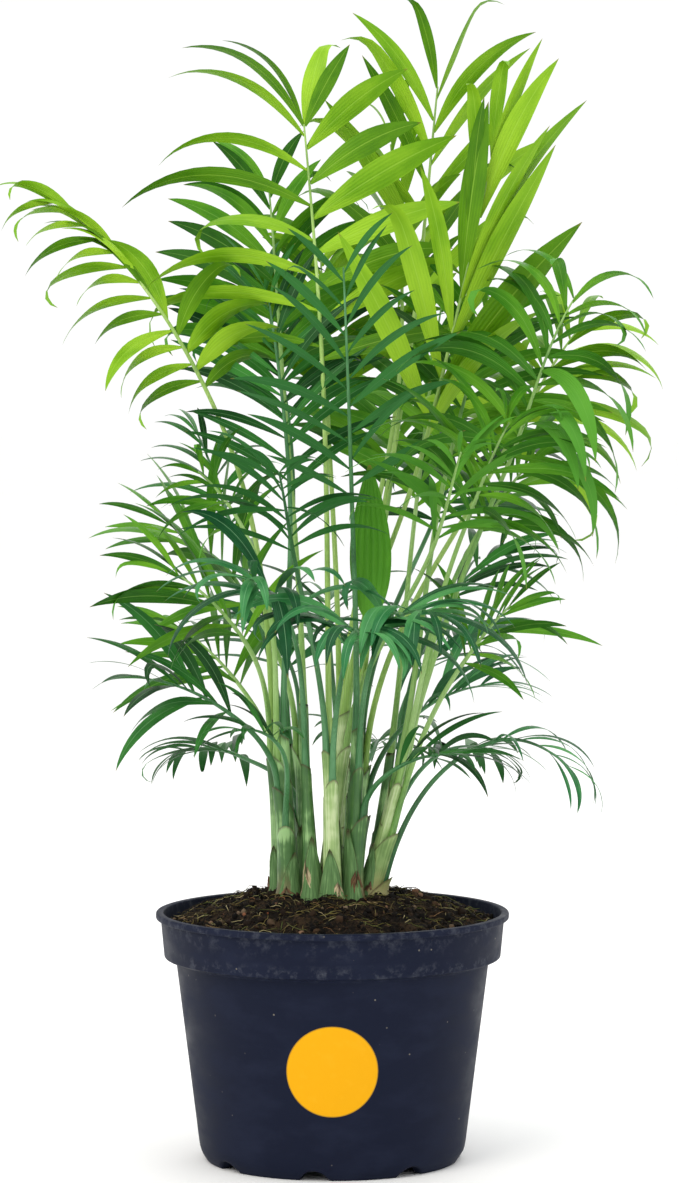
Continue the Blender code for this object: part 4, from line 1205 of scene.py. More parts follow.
# Each leaf colour: its dark, light, under and midrib colours, how strongly its midrib
# shows from above, its roughness, and how wide its leaflets are beside the widest
LeafLook = namedtuple("LeafLook", "dark light under midrib rib_share roughness width")
LEAF_LOOKS = {
    "young": LeafLook("#3f720b", "#98c42c", "#75a82a", "#a6cf4c", 0.35, 0.40, 1.00),
    "mid": LeafLook("#22540f", "#6aa624", "#4a8a2a", "#8fbf58", 0.35, 0.38, 0.80),
    "deep": LeafLook("#0d3612", "#39812f", "#28602a", "#78aa70", 0.45, 0.36, 0.72),
    # The bluish look is partly the low fronds' own bluish green and partly painted sheen: its
    # colours are lighter and bluer to stand for the shine on those fronds.
    "blue": LeafLook("#124223", "#569c58", "#2a623a", "#82b886", 0.50, 0.38, 0.75),
}


def leaf_cuticle(name, main, look):
    """The waxy skin of a palm leaflet. To the eye: parallel veins as fine ridges, a paler
    midrib, long soft blotches that differ from leaflet to leaflet, a hair of dry brown at
    the tip, a matt paler underside, and a broad soft gloss above.

    All of it follows the map, whose lanes across are leaflets and the last two of them
    undersides. The tone is 0.18 + 0.55 blotch + 0.46 luck + 0.03 vein - 0.20 length, luck
    being one draw for a lane, and a ramp turns it into dark, main and light."""
    made, tree, shader = blank(name)
    place = add(tree, "UVMap", {}, SURFACE_MAP)
    right, up, _ = add(tree, "SeparateXYZ", {0: place}).outputs
    lanes = add(tree, "Math", {0: right, 1: LANES}, TIMES)
    lane = add(tree, "Math", {0: lanes}, {"operation": "FLOOR"})
    across = add(tree, "Math", {0: lanes}, FRACTION)
    inward = add(tree, "Math", {0: across, 1: 0.5}, ZIGZAG)
    length = add(tree, "Math", {0: up, 1: BLOTCHES_ALONG}, TIMES)
    depth = add(tree, "Math", {0: lane, 1: LANE_STEP}, TIMES)
    spot = add(tree, "CombineXYZ", {0: across, 1: length, 2: depth})
    blotch = add(tree, "TexNoise", {"Vector": spot, "Scale": BLOTCHES, "Detail": 3.0})
    waves = add(tree, "Math", {0: inward, 1: math.tau * 2 * VEINS_PER_HALF}, TIMES)
    fade = add(tree, "MapRange", {0: up, 1: 0.40, 2: 0.80, 3: 1.0, 4: 0.0})
    vein = add(tree, "Math", {0: waves}, {"operation": "SINE"})
    vein = add(tree, "Math", {0: vein, 1: fade}, TIMES)
    luck = add(tree, "TexWhiteNoise", {"W": lane}, {"noise_dimensions": "1D"})
    tone = add(tree, "Math", {0: vein, 1: 0.03, 2: 0.18}, TIMES_PLUS)
    tone = add(tree, "Math", {0: blotch, 1: 0.55, 2: tone}, TIMES_PLUS)
    tone = add(tree, "Math", {0: luck, 1: 0.46, 2: tone}, TIMES_PLUS)
    tone = add(tree, "Math", {0: up, 1: -0.20, 2: tone}, TIMES_PLUS)
    stops = (0.26, look.dark), (0.56, main), (0.86, look.light)
    shade = add(tree, "ValToRGB", {0: tone}, stops=stops)
    rib = add(tree, "MapRange", {0: inward, 1: 0.462, 2: 0.495, 4: look.rib_share}, SMOOTH)
    ribbed = add(tree, "Mix", {0: rib, 6: shade, 7: look.midrib}, COLOURS)
    is_under = add(tree, "Math", {0: lane, 1: TOP_LANES - 0.5}, ABOVE)
    paler = add(tree, "Math", {0: is_under, 1: 0.75}, TIMES)
    sided = add(tree, "Mix", {0: paler, 6: ribbed, 7: look.under}, COLOURS)
    dry = add(tree, "MapRange", {0: up, 1: 0.965, 2: 1.0, 4: 0.8})
    tipped = add(tree, "Mix", {0: dry, 6: sided, 7: DRY_TIP}, COLOURS)
    least, most = look.roughness - 0.06, look.roughness + 0.08
    rough = add(tree, "MapRange", {0: blotch, 1: 0.3, 2: 0.7, 3: least, 4: most})
    dull = add(tree, "Math", {0: is_under, 1: 0.18, 2: rough}, TIMES_PLUS)
    ridge = add(tree, "Math", {0: blotch, 1: 1.2, 2: vein}, TIMES_PLUS)
    bump = add(tree, "Bump", {"Strength": 0.30, "Distance": VEIN_HEIGHT, "Height": ridge})
    connect(tree, shader, {"Base Color": tipped, "Roughness": dull, "Normal": bump,
                           "Specular IOR Level": 0.14})
    return made


# Distances between slow changes of green, between streaks, and along one streak. The
# streaks are finer than the render shows and only break up the gloss.
STALK_PATCH_MM = 55.56
STALK_STREAK_MM = 0.625
STALK_STREAK_LONG_MM = 16.67


def stalk_skin(name, main, dark, light):
    """The smooth rind of a leaf stalk: fine lengthwise streaks and a slow change of
    green along it, with a soft gloss."""
    made, tree, shader = blank(name)
    place = add(tree, "TexCoord", {}).outputs["Object"]
    slow = add(tree, "TexNoise", {"Vector": place, "Scale": every(STALK_PATCH_MM), "Detail": 2.0})
    fine = every(STALK_STREAK_MM)
    stretch = fine, fine, every(STALK_STREAK_LONG_MM)
    lines = add(tree, "Mapping", {"Vector": place, "Scale": stretch})
    streak = add(tree, "TexNoise", {"Vector": lines, "Scale": 1.0, "Detail": 1.0})
    tone = add(tree, "Math", {0: streak, 1: 0.4, 2: slow}, TIMES_PLUS)
    shade = add(tree, "ValToRGB", {0: tone}, stops=((0.45, dark), (0.68, main), (0.95, light)))
    rough = add(tree, "MapRange", {0: streak, 1: 0.3, 2: 0.7, 3: 0.38, 4: 0.52})
    bump = add(tree, "Bump", {"Strength": 0.2, "Distance": 0.0001, "Height": streak})
    connect(tree, shader, {"Base Color": shade, "Roughness": rough, "Normal": bump})
    return made


# Streaks round a sheath, about 1.1 mm apart, and how many follow one another in the 150 mm
# of the map, then the distance between slow changes
SHEATH_STREAKS = 34
SHEATH_STREAK_RUNS = 2.2
SHEATH_PATCH_MM = 23.81
DRIED_RIM = "#4a3520"
# How high above and below the mix's crown a stem's foot turns to straw
FOOT_BELOW = 0.012
FOOT_ABOVE = 0.014


def sheath_skin(name, main, dark, light, foot):
    """The fibrous sleeve of a leaf's base: streaks that run up it, a rim that has dried
    dark brown, and a foot that is straw and brown where old sleeves have worn away. To
    the eye it is silky, matter than a leaf, and striped."""
    made, tree, shader = blank(name)
    place = add(tree, "UVMap", {}, SURFACE_MAP)
    up = add(tree, "SeparateXYZ", {0: place}).outputs["Y"]
    in_space = add(tree, "TexCoord", {}).outputs["Object"]
    patch = every(SHEATH_PATCH_MM)
    slow = add(tree, "TexNoise", {"Vector": in_space, "Scale": patch, "Detail": 3.0})
    runs = SHEATH_STREAKS, SHEATH_STREAK_RUNS, 1.0
    stretch = add(tree, "Mapping", {"Vector": place, "Scale": runs})
    streak = add(tree, "TexNoise", {"Vector": stretch, "Scale": 1.0, "Detail": 4.0,
                                    "Roughness": 0.65})
    tone = add(tree, "Math", {0: streak, 1: 0.75, 2: slow}, TIMES_PLUS)
    shade = add(tree, "ValToRGB", {0: tone}, stops=((0.66, dark), (0.88, main), (1.00, light)))
    height = add(tree, "SeparateXYZ", {0: in_space}).outputs["Z"]
    ragged = add(tree, "Math", {0: streak, 1: -0.022, 2: height}, TIMES_PLUS)
    below, above = SOIL_TOP - FOOT_BELOW, SOIL_TOP + FOOT_ABOVE
    low = add(tree, "MapRange", {0: ragged, 1: below, 2: above, 3: 0.85, 4: 0.0}, SMOOTH)
    footed = add(tree, "Mix", {0: low, 6: shade, 7: foot}, COLOURS)
    frayed = add(tree, "Math", {0: streak, 1: 0.030, 2: up}, TIMES_PLUS)
    rim = add(tree, "MapRange", {0: frayed, 1: 1.000, 2: 1.014, 4: 0.75})
    rimmed = add(tree, "Mix", {0: rim, 6: footed, 7: DRIED_RIM}, COLOURS)
    rough = add(tree, "MapRange", {0: streak, 1: 0.3, 2: 0.7, 3: 0.42, 4: 0.62})
    bump = add(tree, "Bump", {"Strength": 0.5, "Distance": 0.0003, "Height": streak})
    connect(tree, shader, {"Base Color": rimmed, "Roughness": rough, "Normal": bump})
    return made


# Each tone of the scraps, from its streaks' dark to their light, by its third of the map
SCRAP_TONES = (
    ("#8d7650", "#cdbd94", "#e3d8b8"),
    ("#39271a", "#7a5a3a", "#a98a5e"),
    ("#47693a", "#628a50", "#8fb276"),
)
# Streaks over the map's width, of which a scrap has a third, and over its height
SCRAP_STREAKS = (60.0, 3.0, 1.0)
SCRAP_EDGE = "#4a3420"


def dry_scrap(name):
    """Old sheath going to paper: cream, brown or still green by its third of the map,
    with lengthwise streaks and edges that have dried dark. It is matt."""
    made, tree, shader = blank(name)
    place = add(tree, "UVMap", {}, SURFACE_MAP)
    right, up, _ = add(tree, "SeparateXYZ", {0: place}).outputs
    stretch = add(tree, "Mapping", {"Vector": place, "Scale": SCRAP_STREAKS})
    streak = add(tree, "TexNoise", {"Vector": stretch, "Scale": 1.0, "Detail": 4.0})
    cream, brown, green = (
        add(tree, "ValToRGB", {0: streak}, stops=tuple(zip((0.30, 0.55, 0.8), tones)))
        for tones in SCRAP_TONES)
    older = add(tree, "Math", {0: right, 1: 1 / 3}, ABOVE)
    alive = add(tree, "Math", {0: right, 1: 2 / 3}, ABOVE)
    dead = add(tree, "Mix", {0: older, 6: cream, 7: brown}, COLOURS)
    aged = add(tree, "Mix", {0: alive, 6: dead, 7: green}, COLOURS)
    thirds = add(tree, "Math", {0: right, 1: 3.0}, TIMES)
    across = add(tree, "Math", {0: thirds}, FRACTION)
    margin = add(tree, "Math", {0: across, 1: 0.5}, ZIGZAG)
    side = add(tree, "MapRange", {0: margin, 1: 0.0, 2: 0.05, 3: 0.9, 4: 0.0})
    top = add(tree, "MapRange", {0: up, 1: 0.86, 2: 1.0, 4: 0.9})
    edge = add(tree, "Math", {0: side, 1: top}, HIGHER)
    burnt = add(tree, "Mix", {0: edge, 6: aged, 7: SCRAP_EDGE}, COLOURS)
    bump = add(tree, "Bump", {"Strength": 0.6, "Distance": 0.0003, "Height": streak})
    connect(tree, shader, {"Base Color": burnt, "Normal": bump, "Roughness": 0.8})
    return made


# Distances between lumps, between dry patches and between bright grains
PEAT_GRAIN_MM = 2.2
PEAT_PATCH_MM = 14.0
PEAT_FLECK_MM = 2.86
PEAT_WET = "#060403"
PEAT_DRY = "#35291d"
PEAT_FLECK = "#6e563a"


def moist_peat(name, main):
    """Moist potting mix of peat and bark: near-black brown, with browner patches where
    it has dried, fine bright grains, and hardly any gloss."""
    made, tree, shader = blank(name)
    place = add(tree, "TexCoord", {}).outputs["Object"]
    grain = add(tree, "TexNoise", {"Vector": place, "Scale": every(PEAT_GRAIN_MM),
                                   "Detail": 4.0, "Roughness": 0.7})
    patch = add(tree, "TexNoise", {"Vector": place, "Scale": every(PEAT_PATCH_MM), "Detail": 2.0})
    cell = add(tree, "TexVoronoi", {"Vector": place, "Scale": every(PEAT_FLECK_MM)})
    tone = add(tree, "Math", {0: patch, 1: 0.7, 2: grain}, TIMES_PLUS)
    stops = (0.60, PEAT_WET), (0.84, main), (1.00, PEAT_DRY)
    shade = add(tree, "ValToRGB", {0: tone}, stops=stops)
    few = add(tree, "MapRange", {0: cell.outputs["Color"], 1: 0.93, 2: 0.97, 4: 0.6})
    flecked = add(tree, "Mix", {0: few, 6: shade, 7: PEAT_FLECK}, COLOURS)
    rough = add(tree, "MapRange", {0: patch, 1: 0.3, 2: 0.7, 3: 0.75, 4: 0.98})
    bump = add(tree, "Bump", {"Strength": 0.8, "Distance": 0.0008, "Height": grain})
    connect(tree, shader, {"Base Color": flecked, "Roughness": rough, "Normal": bump,
                           "Specular IOR Level": 0.12})
    return made


# Bits on the mix: each ramp runs over the lanes that the bits are dealt. The mottle is
# about 9 changes over all lanes, and what it darkens is halved.
CRUMB_COLOURS = ((0.0, "#060403"), (0.50, "#120d0a"), (0.76, "#271c14"), (0.90, "#4a3828"),
                 (0.97, "#776552"), (1.0, "#8a4a2c"))
STRAW_COLOURS = ((0.0, "#120d08"), (0.45, "#33281a"), (0.70, "#7a6c3c"), (0.82, "#525e2a"),
                 (0.95, "#b9a97c"), (1.0, "#7f4c2c"))
LITTER_MOTTLE = 9.0
HALF = (0.5, 0.5, 0.5, 1.0)


def by_lane(name, stops, roughness, strength):
    """Loose bits, each in the one colour that its lane of the map picks from a ramp,
    mottled a little, and matt."""
    made, tree, shader = blank(name)
    place = add(tree, "UVMap", {}, SURFACE_MAP)
    lane = add(tree, "SeparateXYZ", {0: place}).outputs["X"]
    mottle = add(tree, "TexNoise", {"Vector": place, "Scale": LITTER_MOTTLE, "Detail": 3.0})
    shade = add(tree, "ValToRGB", {0: lane}, stops=stops)
    share = add(tree, "MapRange", {0: mottle, 1: 0.35, 2: 0.7, 3: 0.0, 4: strength})
    mixed = add(tree, "Mix", {0: share, 6: shade, 7: HALF}, COLOURS | {"blend_type": "MULTIPLY"})
    bump = add(tree, "Bump", {"Strength": 0.5, "Distance": 0.0003, "Height": mottle})
    connect(tree, shader, {"Base Color": mixed, "Normal": bump, "Roughness": roughness,
                           "Specular IOR Level": 0.15})
    return made


# Distances between scuffs, chalky spots, the pits of the orange-peel and dried specks,
# and how much closer together the scuffs lie up the wall than round it
SCUFF_MM = 45.0
CHALK_MM = 7.0
PEEL_MM = 1.2
SPECK_MM = 4.8
SCUFF_SQUEEZE = 2.2
SCUFF = "#2c3246"
DUST = "#7f838c"
SPECK = "#a29c8c"
# How far below the rim the dust reaches, where the band's lower edge is rubbed, and how
# far from there
DUST_DEPTH = 0.020
RUBBED_HEIGHT = BAND_FOOT + 0.003
RUBBED_REACH = 0.007


def moulded_polypropylene(name, main):
    """Injection-moulded polypropylene, dark blue grey: a satin skin with a very fine
    orange-peel, long faint scuffs round the wall, dull dusty patches, specks of dried
    mix, and a pale bloom of dust under the lip and at the band's lower edge."""
    made, tree, shader = blank(name)
    place = add(tree, "TexCoord", {}).outputs["Object"]
    height = add(tree, "SeparateXYZ", {0: place}).outputs["Z"]
    flat = add(tree, "Mapping", {"Vector": place, "Scale": (1.0, 1.0, SCUFF_SQUEEZE)})
    scuff = add(tree, "TexNoise", {"Vector": flat, "Scale": every(SCUFF_MM), "Detail": 6.0,
                                   "Roughness": 0.6})
    scuffs = add(tree, "MapRange", {0: scuff, 1: 0.46, 2: 0.74, 4: 0.30})
    peel = add(tree, "TexNoise", {"Vector": place, "Scale": every(PEEL_MM), "Detail": 2.0})
    spots = add(tree, "TexNoise", {"Vector": place, "Scale": every(CHALK_MM), "Detail": 5.0,
                                   "Roughness": 0.7})
    speck = add(tree, "TexVoronoi", {"Vector": place, "Scale": every(SPECK_MM)})
    near = add(tree, "MapRange", {0: speck.outputs["Distance"], 1: 0.10, 2: 0.16, 3: 1.0, 4: 0.0})
    few = add(tree, "MapRange", {0: speck.outputs["Color"], 1: 0.84, 2: 0.90, 4: 0.45})
    specks = add(tree, "Math", {0: near, 1: few}, TIMES)
    worn = add(tree, "Mix", {0: scuffs, 6: main, 7: SCUFF}, COLOURS)
    dust = add(tree, "MapRange", {0: height, 1: RIM_TOP - DUST_DEPTH, 2: RIM_TOP, 4: 0.30})
    off_edge = add(tree, "Math", {0: height, 1: RUBBED_HEIGHT}, {"operation": "SUBTRACT"})
    distance = add(tree, "Math", {0: off_edge}, {"operation": "ABSOLUTE"})
    chalk = add(tree, "MapRange", {0: distance, 1: 0.0, 2: RUBBED_REACH, 3: 0.30, 4: 0.0})
    edges = add(tree, "Math", {0: dust, 1: chalk}, HIGHER)
    blown = add(tree, "MapRange", {0: spots, 1: 0.50, 2: 0.78, 4: 1.0})
    dusty = add(tree, "Math", {0: edges, 1: blown}, TIMES)
    dusted = add(tree, "Mix", {0: dusty, 6: worn, 7: DUST}, COLOURS)
    specked = add(tree, "Mix", {0: specks, 6: dusted, 7: SPECK}, COLOURS)
    rough = add(tree, "MapRange", {0: scuff, 1: 0.35, 2: 0.70, 3: 0.40, 4: 0.62})
    relief = add(tree, "Math", {0: scuff, 1: 2.0, 2: peel}, TIMES_PLUS)
    bump = add(tree, "Bump", {"Strength": 0.15, "Distance": 0.0002, "Height": relief})
    connect(tree, shader, {"Base Color": specked, "Roughness": rough, "Normal": bump,
                           "Specular IOR Level": 0.05})
    return made


# What one unit of the sticker's map spans, and the distances between the paper's flecks
# and between its rubbed places
LABEL_MAP_MM = 66.0
PAPER_FLECK_MM = 1.1
PAPER_RUBBED_MM = 9.43
# Where on the map the cut edge begins and where it is whole
LABEL_EDGE = (0.455, 0.466)
PAPER_SHADED = "#e0a008"
PAPER_FADED = "#efb32e"
PAPER_EDGE = "#8a6a24"


def printed_paper(name, main):
    """A coated paper sticker, printed one plain colour: even, with the paper's faint
    mottle, a hair of cut white edge that has greyed, and a soft sheen."""
    made, tree, shader = blank(name)
    place = add(tree, "UVMap", {}, SURFACE_MAP)
    middle = add(tree, "VectorMath", {0: place, 1: (0.5, 0.5, 0.0)}, {"operation": "DISTANCE"})
    mottle = add(tree, "TexNoise", {"Vector": place, "Scale": LABEL_MAP_MM / PAPER_FLECK_MM,
                                    "Detail": 4.0})
    wear = add(tree, "TexNoise", {"Vector": place, "Scale": LABEL_MAP_MM / PAPER_RUBBED_MM,
                                  "Detail": 5.0})
    tone = add(tree, "MapRange", {0: mottle, 1: 0.3, 2: 0.7, 3: 0.0, 4: 0.12})
    even = add(tree, "Mix", {0: tone, 6: main, 7: PAPER_SHADED}, COLOURS)
    rubbed = add(tree, "MapRange", {0: wear, 1: 0.55, 2: 0.80, 4: 0.25})
    faded = add(tree, "Mix", {0: rubbed, 6: even, 7: PAPER_FADED}, COLOURS)
    begins, whole = LABEL_EDGE
    edge = add(tree, "MapRange", {0: middle.outputs["Value"], 1: begins, 2: whole, 4: 0.8})
    edged = add(tree, "Mix", {0: edge, 6: faded, 7: PAPER_EDGE}, COLOURS)
    rough = add(tree, "MapRange", {0: wear, 1: 0.3, 2: 0.7, 3: 0.38, 4: 0.55})
    bump = add(tree, "Bump", {"Strength": 0.1, "Distance": 0.0001, "Height": mottle})
    connect(tree, shader, {"Base Color": edged, "Roughness": rough, "Normal": bump,
                           "Specular IOR Level": 0.10})
    return made


# The floor's width in metres
FLOOR_SIZE = 40.0
FLOOR_LIGHTEST = "#fefefd"


def make_floor(colour):
    """A wide pale floor at the pot's feet, matt with a faint unevenness."""
    half = FLOOR_SIZE / 2
    mesh = bpy.data.meshes.new("floor")
    corners = [(-half, -half, 0.0), (half, -half, 0.0), (half, half, 0.0), (-half, half, 0.0)]
    mesh.from_pydata(corners, [], [(0, 1, 2, 3)])
    made, tree, shader = blank("matt_paper")
    place = add(tree, "TexCoord", {}).outputs["Object"]
    cloud = add(tree, "TexNoise", {"Vector": place, "Scale": 3.0, "Detail": 2.0})
    shade = add(tree, "ValToRGB", {0: cloud}, stops=((0.3, colour), (0.7, FLOOR_LIGHTEST)))
    connect(tree, shader, {"Base Color": shade, "Roughness": 0.9})
    mesh.materials.append(made)
    floor = bpy.data.objects.new("floor", mesh)
    bpy.context.scene.collection.objects.link(floor)


# Each lamp: where it stands, its width, its power in watts, and its colour
Lamp = namedtuple("Lamp", "place size power colour")
LAMPS = {
    "key": Lamp((-1.5, -2.1, 2.3), 1.5, 36.0, "#fffaf2"),
    "fill": Lamp((2.0, -1.8, 1.2), 2.0, 6.0, "#f6f9ff"),
    "top": Lamp((0.2, 0.3, 2.6), 1.8, 16.0, "#ffffff"),
    "back": Lamp((0.6, 2.3, 1.6), 1.6, 8.0, "#ffffff"),
}
AIM = Vector((0.0, 0.0, 0.42))
SKY = "#ffffff"
SKY_STRENGTH = 1.03


def make_lights():
    """Soft square lamps that face the palm, and an even white sky."""
    for name, lamp in LAMPS.items():
        light = bpy.data.lights.new(name, "AREA")
        light.size = lamp.size
        light.energy = lamp.power
        light.color = linear(lamp.colour)[:3]
        holder = bpy.data.objects.new(name, light)
        holder.location = lamp.place
        holder.rotation_euler = (AIM - Vector(lamp.place)).to_track_quat("-Z", "Y").to_euler()
        bpy.context.scene.collection.objects.link(holder)
    world = bpy.data.worlds.new("studio")
    world.use_nodes = True
    sky = world.node_tree.nodes["Background"]
    sky.inputs["Color"].default_value = linear(SKY)
    sky.inputs["Strength"].default_value = SKY_STRENGTH
    bpy.context.scene.world = world
    bpy.context.scene.view_settings.view_transform = "Standard"


# The width of the camera's frame in millimetres, and how far it sees in metres
FRAME_MM = 36.0
VIEW_REACH = 100.0


def make_camera(eye, pitch, lens):
    """The camera at the photograph's angle: level across, and a little down."""
    camera = bpy.data.cameras.new("camera")
    camera.lens = lens
    camera.sensor_width = FRAME_MM
    camera.clip_end = VIEW_REACH
    holder = bpy.data.objects.new("camera", camera)
    holder.location = eye
    holder.rotation_euler = (math.pi / 2 - pitch, 0.0, 0.0)
    bpy.context.scene.collection.objects.link(holder)
    bpy.context.scene.camera = holder


SPEAR_PLEATS = 3
SPEAR_WIDTH = 0.028
PLEAT_HEIGHT = 0.0022
SPEAR_CUP = 0.0050
# Runs of the spear's stalk and of its blade, and points across each pleat
SPEAR_STALK_RUNS = 8
SPEAR_RUNS = 40
PLEAT_POINTS = 8


def spear_surface():
    """The young spear: one broad leaf that has not split yet, on its own stalk's end.

    At u of its length it is W sin(pi (0.04 + 0.95 u^0.8))^0.8 wide, and at x from -1 to 1
    across it the sheet rises by its pleats' |sin| and falls by its cup times x^2, both
    times sin(pi u), so that it is flat at both ends."""
    frond = FRONDS["frond_spear"]
    rib = rib_of(frond, SPEAR_STALK_RUNS, SPEAR_RUNS)
    _, across, face = directions(frond, rib)
    rib, across, face = (rows[SPEAR_STALK_RUNS:] for rows in (rib, across, face))
    u = np.linspace(0.0, 1.0, len(rib))
    half = SPEAR_WIDTH / 2 * np.sin(np.pi * (0.04 + 0.95 * u ** 0.8)) ** 0.8
    x = np.linspace(-1.0, 1.0, PLEAT_POINTS * SPEAR_PLEATS + 1)
    rise = np.sin(np.pi * u)[:, None]
    pleat = PLEAT_HEIGHT * rise * np.abs(np.sin(np.pi * SPEAR_PLEATS * x))
    cup = -SPEAR_CUP * rise * (x ** 2)[None]
    grids = []
    half_thick = LEAF_THICKNESS / 2 * inside(*pleat.shape)
    for lane, depth in ((0, half_thick), (TOP_LANES, -half_thick)):
        points = rib[:, None] + across[:, None] * (half[:, None] * x)[..., None]
        points = points + face[:, None] * (pleat + cup + depth)[..., None]
        uvs = map_of(lane_places(lane, x), u[:, None], pleat.shape)
        grids.append(sheets(points[None], uvs[None], flipped=not lane))
    return merged(grids)


def colour_setting(name, description, code):
    """A colour that the panel shows, with its default."""
    return FloatVectorProperty(name=name, description=description, subtype="COLOR", size=4,
                               min=0.0, max=1.0, default=linear(code))


class PALM_PG_pot(bpy.types.PropertyGroup):
    """The pot and its sticker."""
    plastic: colour_setting("Plastic", "Colour of the moulded pot", "#161b2c")
    label: colour_setting("Label", "Colour of the plain round sticker", "#e2a208")
    label_radius: FloatProperty(name="Label radius", description="Radius of the sticker",
                                subtype="DISTANCE", unit="LENGTH", default=0.0310)


class PALM_PG_mix(bpy.types.PropertyGroup):
    """The potting mix and the litter on it."""
    peat: colour_setting("Peat", "Colour of the moist mix", "#15100c")
    crumbs: IntProperty(name="Crumbs", description="How many loose crumbs lie on the mix",
                        min=1, default=1800)
    straws: IntProperty(name="Straws", description="How many dry fibres lie on the mix",
                        min=1, default=1300)


class PALM_PG_stems(bpy.types.PropertyGroup):
    """The stems' sheaths and the stalks."""
    green: colour_setting("Green sheath", "Colour of most stems", "#4a7539")
    pale: colour_setting("Pale sheath", "Colour of the palest stems", "#9dbb74")
    stalk_young: colour_setting("Young stalk", "Colour of the young fronds' stalks", "#8fb556")
    stalk_green: colour_setting("Green stalk", "Colour of the middle fronds' stalks", "#83ad58")
    stalk_dark: colour_setting("Dark stalk", "Colour of the shaded fronds' stalks", "#35703a")


class PALM_PG_leaves(bpy.types.PropertyGroup):
    """The leaflets."""
    width: FloatProperty(name="Leaflet width", subtype="FACTOR", min=0.05, max=0.3,
                         default=0.150,
                         description="Width of the widest leaflets as a share of their length")
    young: colour_setting("Young", "Colour of the youngest fronds", "#679a12")
    mid: colour_setting("Mid", "Colour of the grown fronds", "#3d7c18")
    deep: colour_setting("Deep", "Colour of the shaded fronds", "#205a20")
    # Partly the low fronds' own bluish green and partly painted sheen, lighter and bluer to stand
    # for their shine.
    blue: colour_setting("Bluish", "Colour of the low bluish fronds", "#276b3a")


class PALM_PG_stage(bpy.types.PropertyGroup):
    """The floor, the light and the camera."""
    floor: colour_setting("Floor", "Colour of the plain floor", "#fcfcfb")
    eye: FloatVectorProperty(name="Eye", description="Where the camera stands",
                             subtype="TRANSLATION", unit="LENGTH",
                             default=(0.0048, -3.0, 0.568))
    pitch: FloatProperty(name="Pitch", description="How far down the camera looks", subtype="ANGLE",
                         unit="ROTATION", default=math.radians(3.42))
    lens: FloatProperty(name="Lens", description="Focal length on a 36 mm frame",
                        subtype="DISTANCE_CAMERA", unit="CAMERA", default=134.3)


# The bits' least and most size in metres, the straws' length and radius, and the part of
# the mix's radius up to which straws lie
CRUMB_SIZES = (0.0009, 0.0055)
STRAW_LENGTHS = (0.005, 0.021)
STRAW_RADII = (0.0002, 0.0006)
STRAW_REACH = 0.95
CRUMB_SEED = 11
STRAW_SEED = 12


class PALM_OT_pot(bpy.types.Operator):
    """Makes the nursery pot"""
    bl_idname = "palm.pot"
    bl_label = "Pot"

    def execute(self, context):
        plastic = moulded_polypropylene("moulded_polypropylene", context.scene.palm_pot.plastic)
        make_piece("pot_shell", pot_surface(), plastic, ("pot",))
        return {"FINISHED"}


class PALM_OT_label(bpy.types.Operator):
    """Makes the plain round sticker on the pot's front"""
    bl_idname = "palm.label"
    bl_label = "Label"

    def execute(self, context):
        settings = context.scene.palm_pot
        paper = printed_paper("printed_paper", settings.label)
        make_piece("round_label", label_surface(settings.label_radius), paper)
        return {"FINISHED"}


class PALM_OT_mix(bpy.types.Operator):
    """Makes the mound of potting mix and the litter on it"""
    bl_idname = "palm.mix"
    bl_label = "Potting mix"

    def execute(self, context):
        settings = context.scene.palm_mix
        peat = moist_peat("moist_peat", settings.peat)
        make_piece("potting_mix", soil_surface(), peat, ("soil",))
        bark = by_lane("bark_crumbs", CRUMB_COLOURS, 0.85, 0.55)
        crumbs = crumb_surface(settings.crumbs, CRUMB_SEED, *CRUMB_SIZES)
        make_piece("loose_crumbs", crumbs, bark)
        straw = by_lane("dry_straw", STRAW_COLOURS, 0.7, 0.4)
        straws = fibre_surface(settings.straws, STRAW_SEED, STRAW_LENGTHS, STRAW_RADII,
                               STRAW_REACH)
        make_piece("straws", straws, straw)
        return {"FINISHED"}


class PALM_OT_stems(bpy.types.Operator):
    """Makes the sheathed stems and the dry scraps at their feet"""
    bl_idname = "palm.stems"
    bl_label = "Stems"

    def execute(self, context):
        settings = context.scene.palm_stems
        skins = {
            "green": sheath_skin("green_sheath", settings.green, "#33602f", "#96bf7c", "#6f5c3a"),
            "pale": sheath_skin("pale_sheath", settings.pale, "#6c8f4c", "#c8d9a4", "#8f8050"),
        }
        for look, skin in skins.items():
            names = [name for name, stem in STEMS.items() if stem.look == look]
            grids = [grid for name in names for grid in sheaths_of(name, STEMS[name])]
            points, uvs = (np.stack(rows) for rows in zip(*grids))
            own = atlas(*points.shape[:3]).reshape(-1, 2)
            sleeves = sheets(points, uvs)
            make_piece("sheaths_" + look, sleeves, skin, names, own)
        scraps = [grid for seed, bract in enumerate(BRACTS) for grid in bract_grids(bract, seed)]
        points, uvs = (np.stack(rows) for rows in zip(*scraps))
        make_piece("dry_scraps", sheets(points, uvs), dry_scrap("dry_scrap"))
        return {"FINISHED"}


class PALM_OT_stalks(bpy.types.Operator):
    """Makes the fronds' stalks and ribs"""
    bl_idname = "palm.stalks"
    bl_label = "Stalks"

    def execute(self, context):
        settings = context.scene.palm_stems
        skins = {
            "young": stalk_skin("young_stalk_rind", settings.stalk_young, "#6d9440", "#b3cf7c"),
            "green": stalk_skin("green_stalk_rind", settings.stalk_green, "#54863a", "#a3c67c"),
            "dark": stalk_skin("dark_stalk_rind", settings.stalk_dark, "#1c4526", "#5a9160"),
        }
        looks = {"young": "young", "mid": "green", "deep": "dark", "blue": "dark"}
        for look, skin in skins.items():
            chosen = [frond for frond in FRONDS.values() if looks[frond.tint] == look]
            surface = merged([stalk_surface(frond) for frond in chosen])
            make_piece("stalks_" + look, surface, skin)
        return {"FINISHED"}


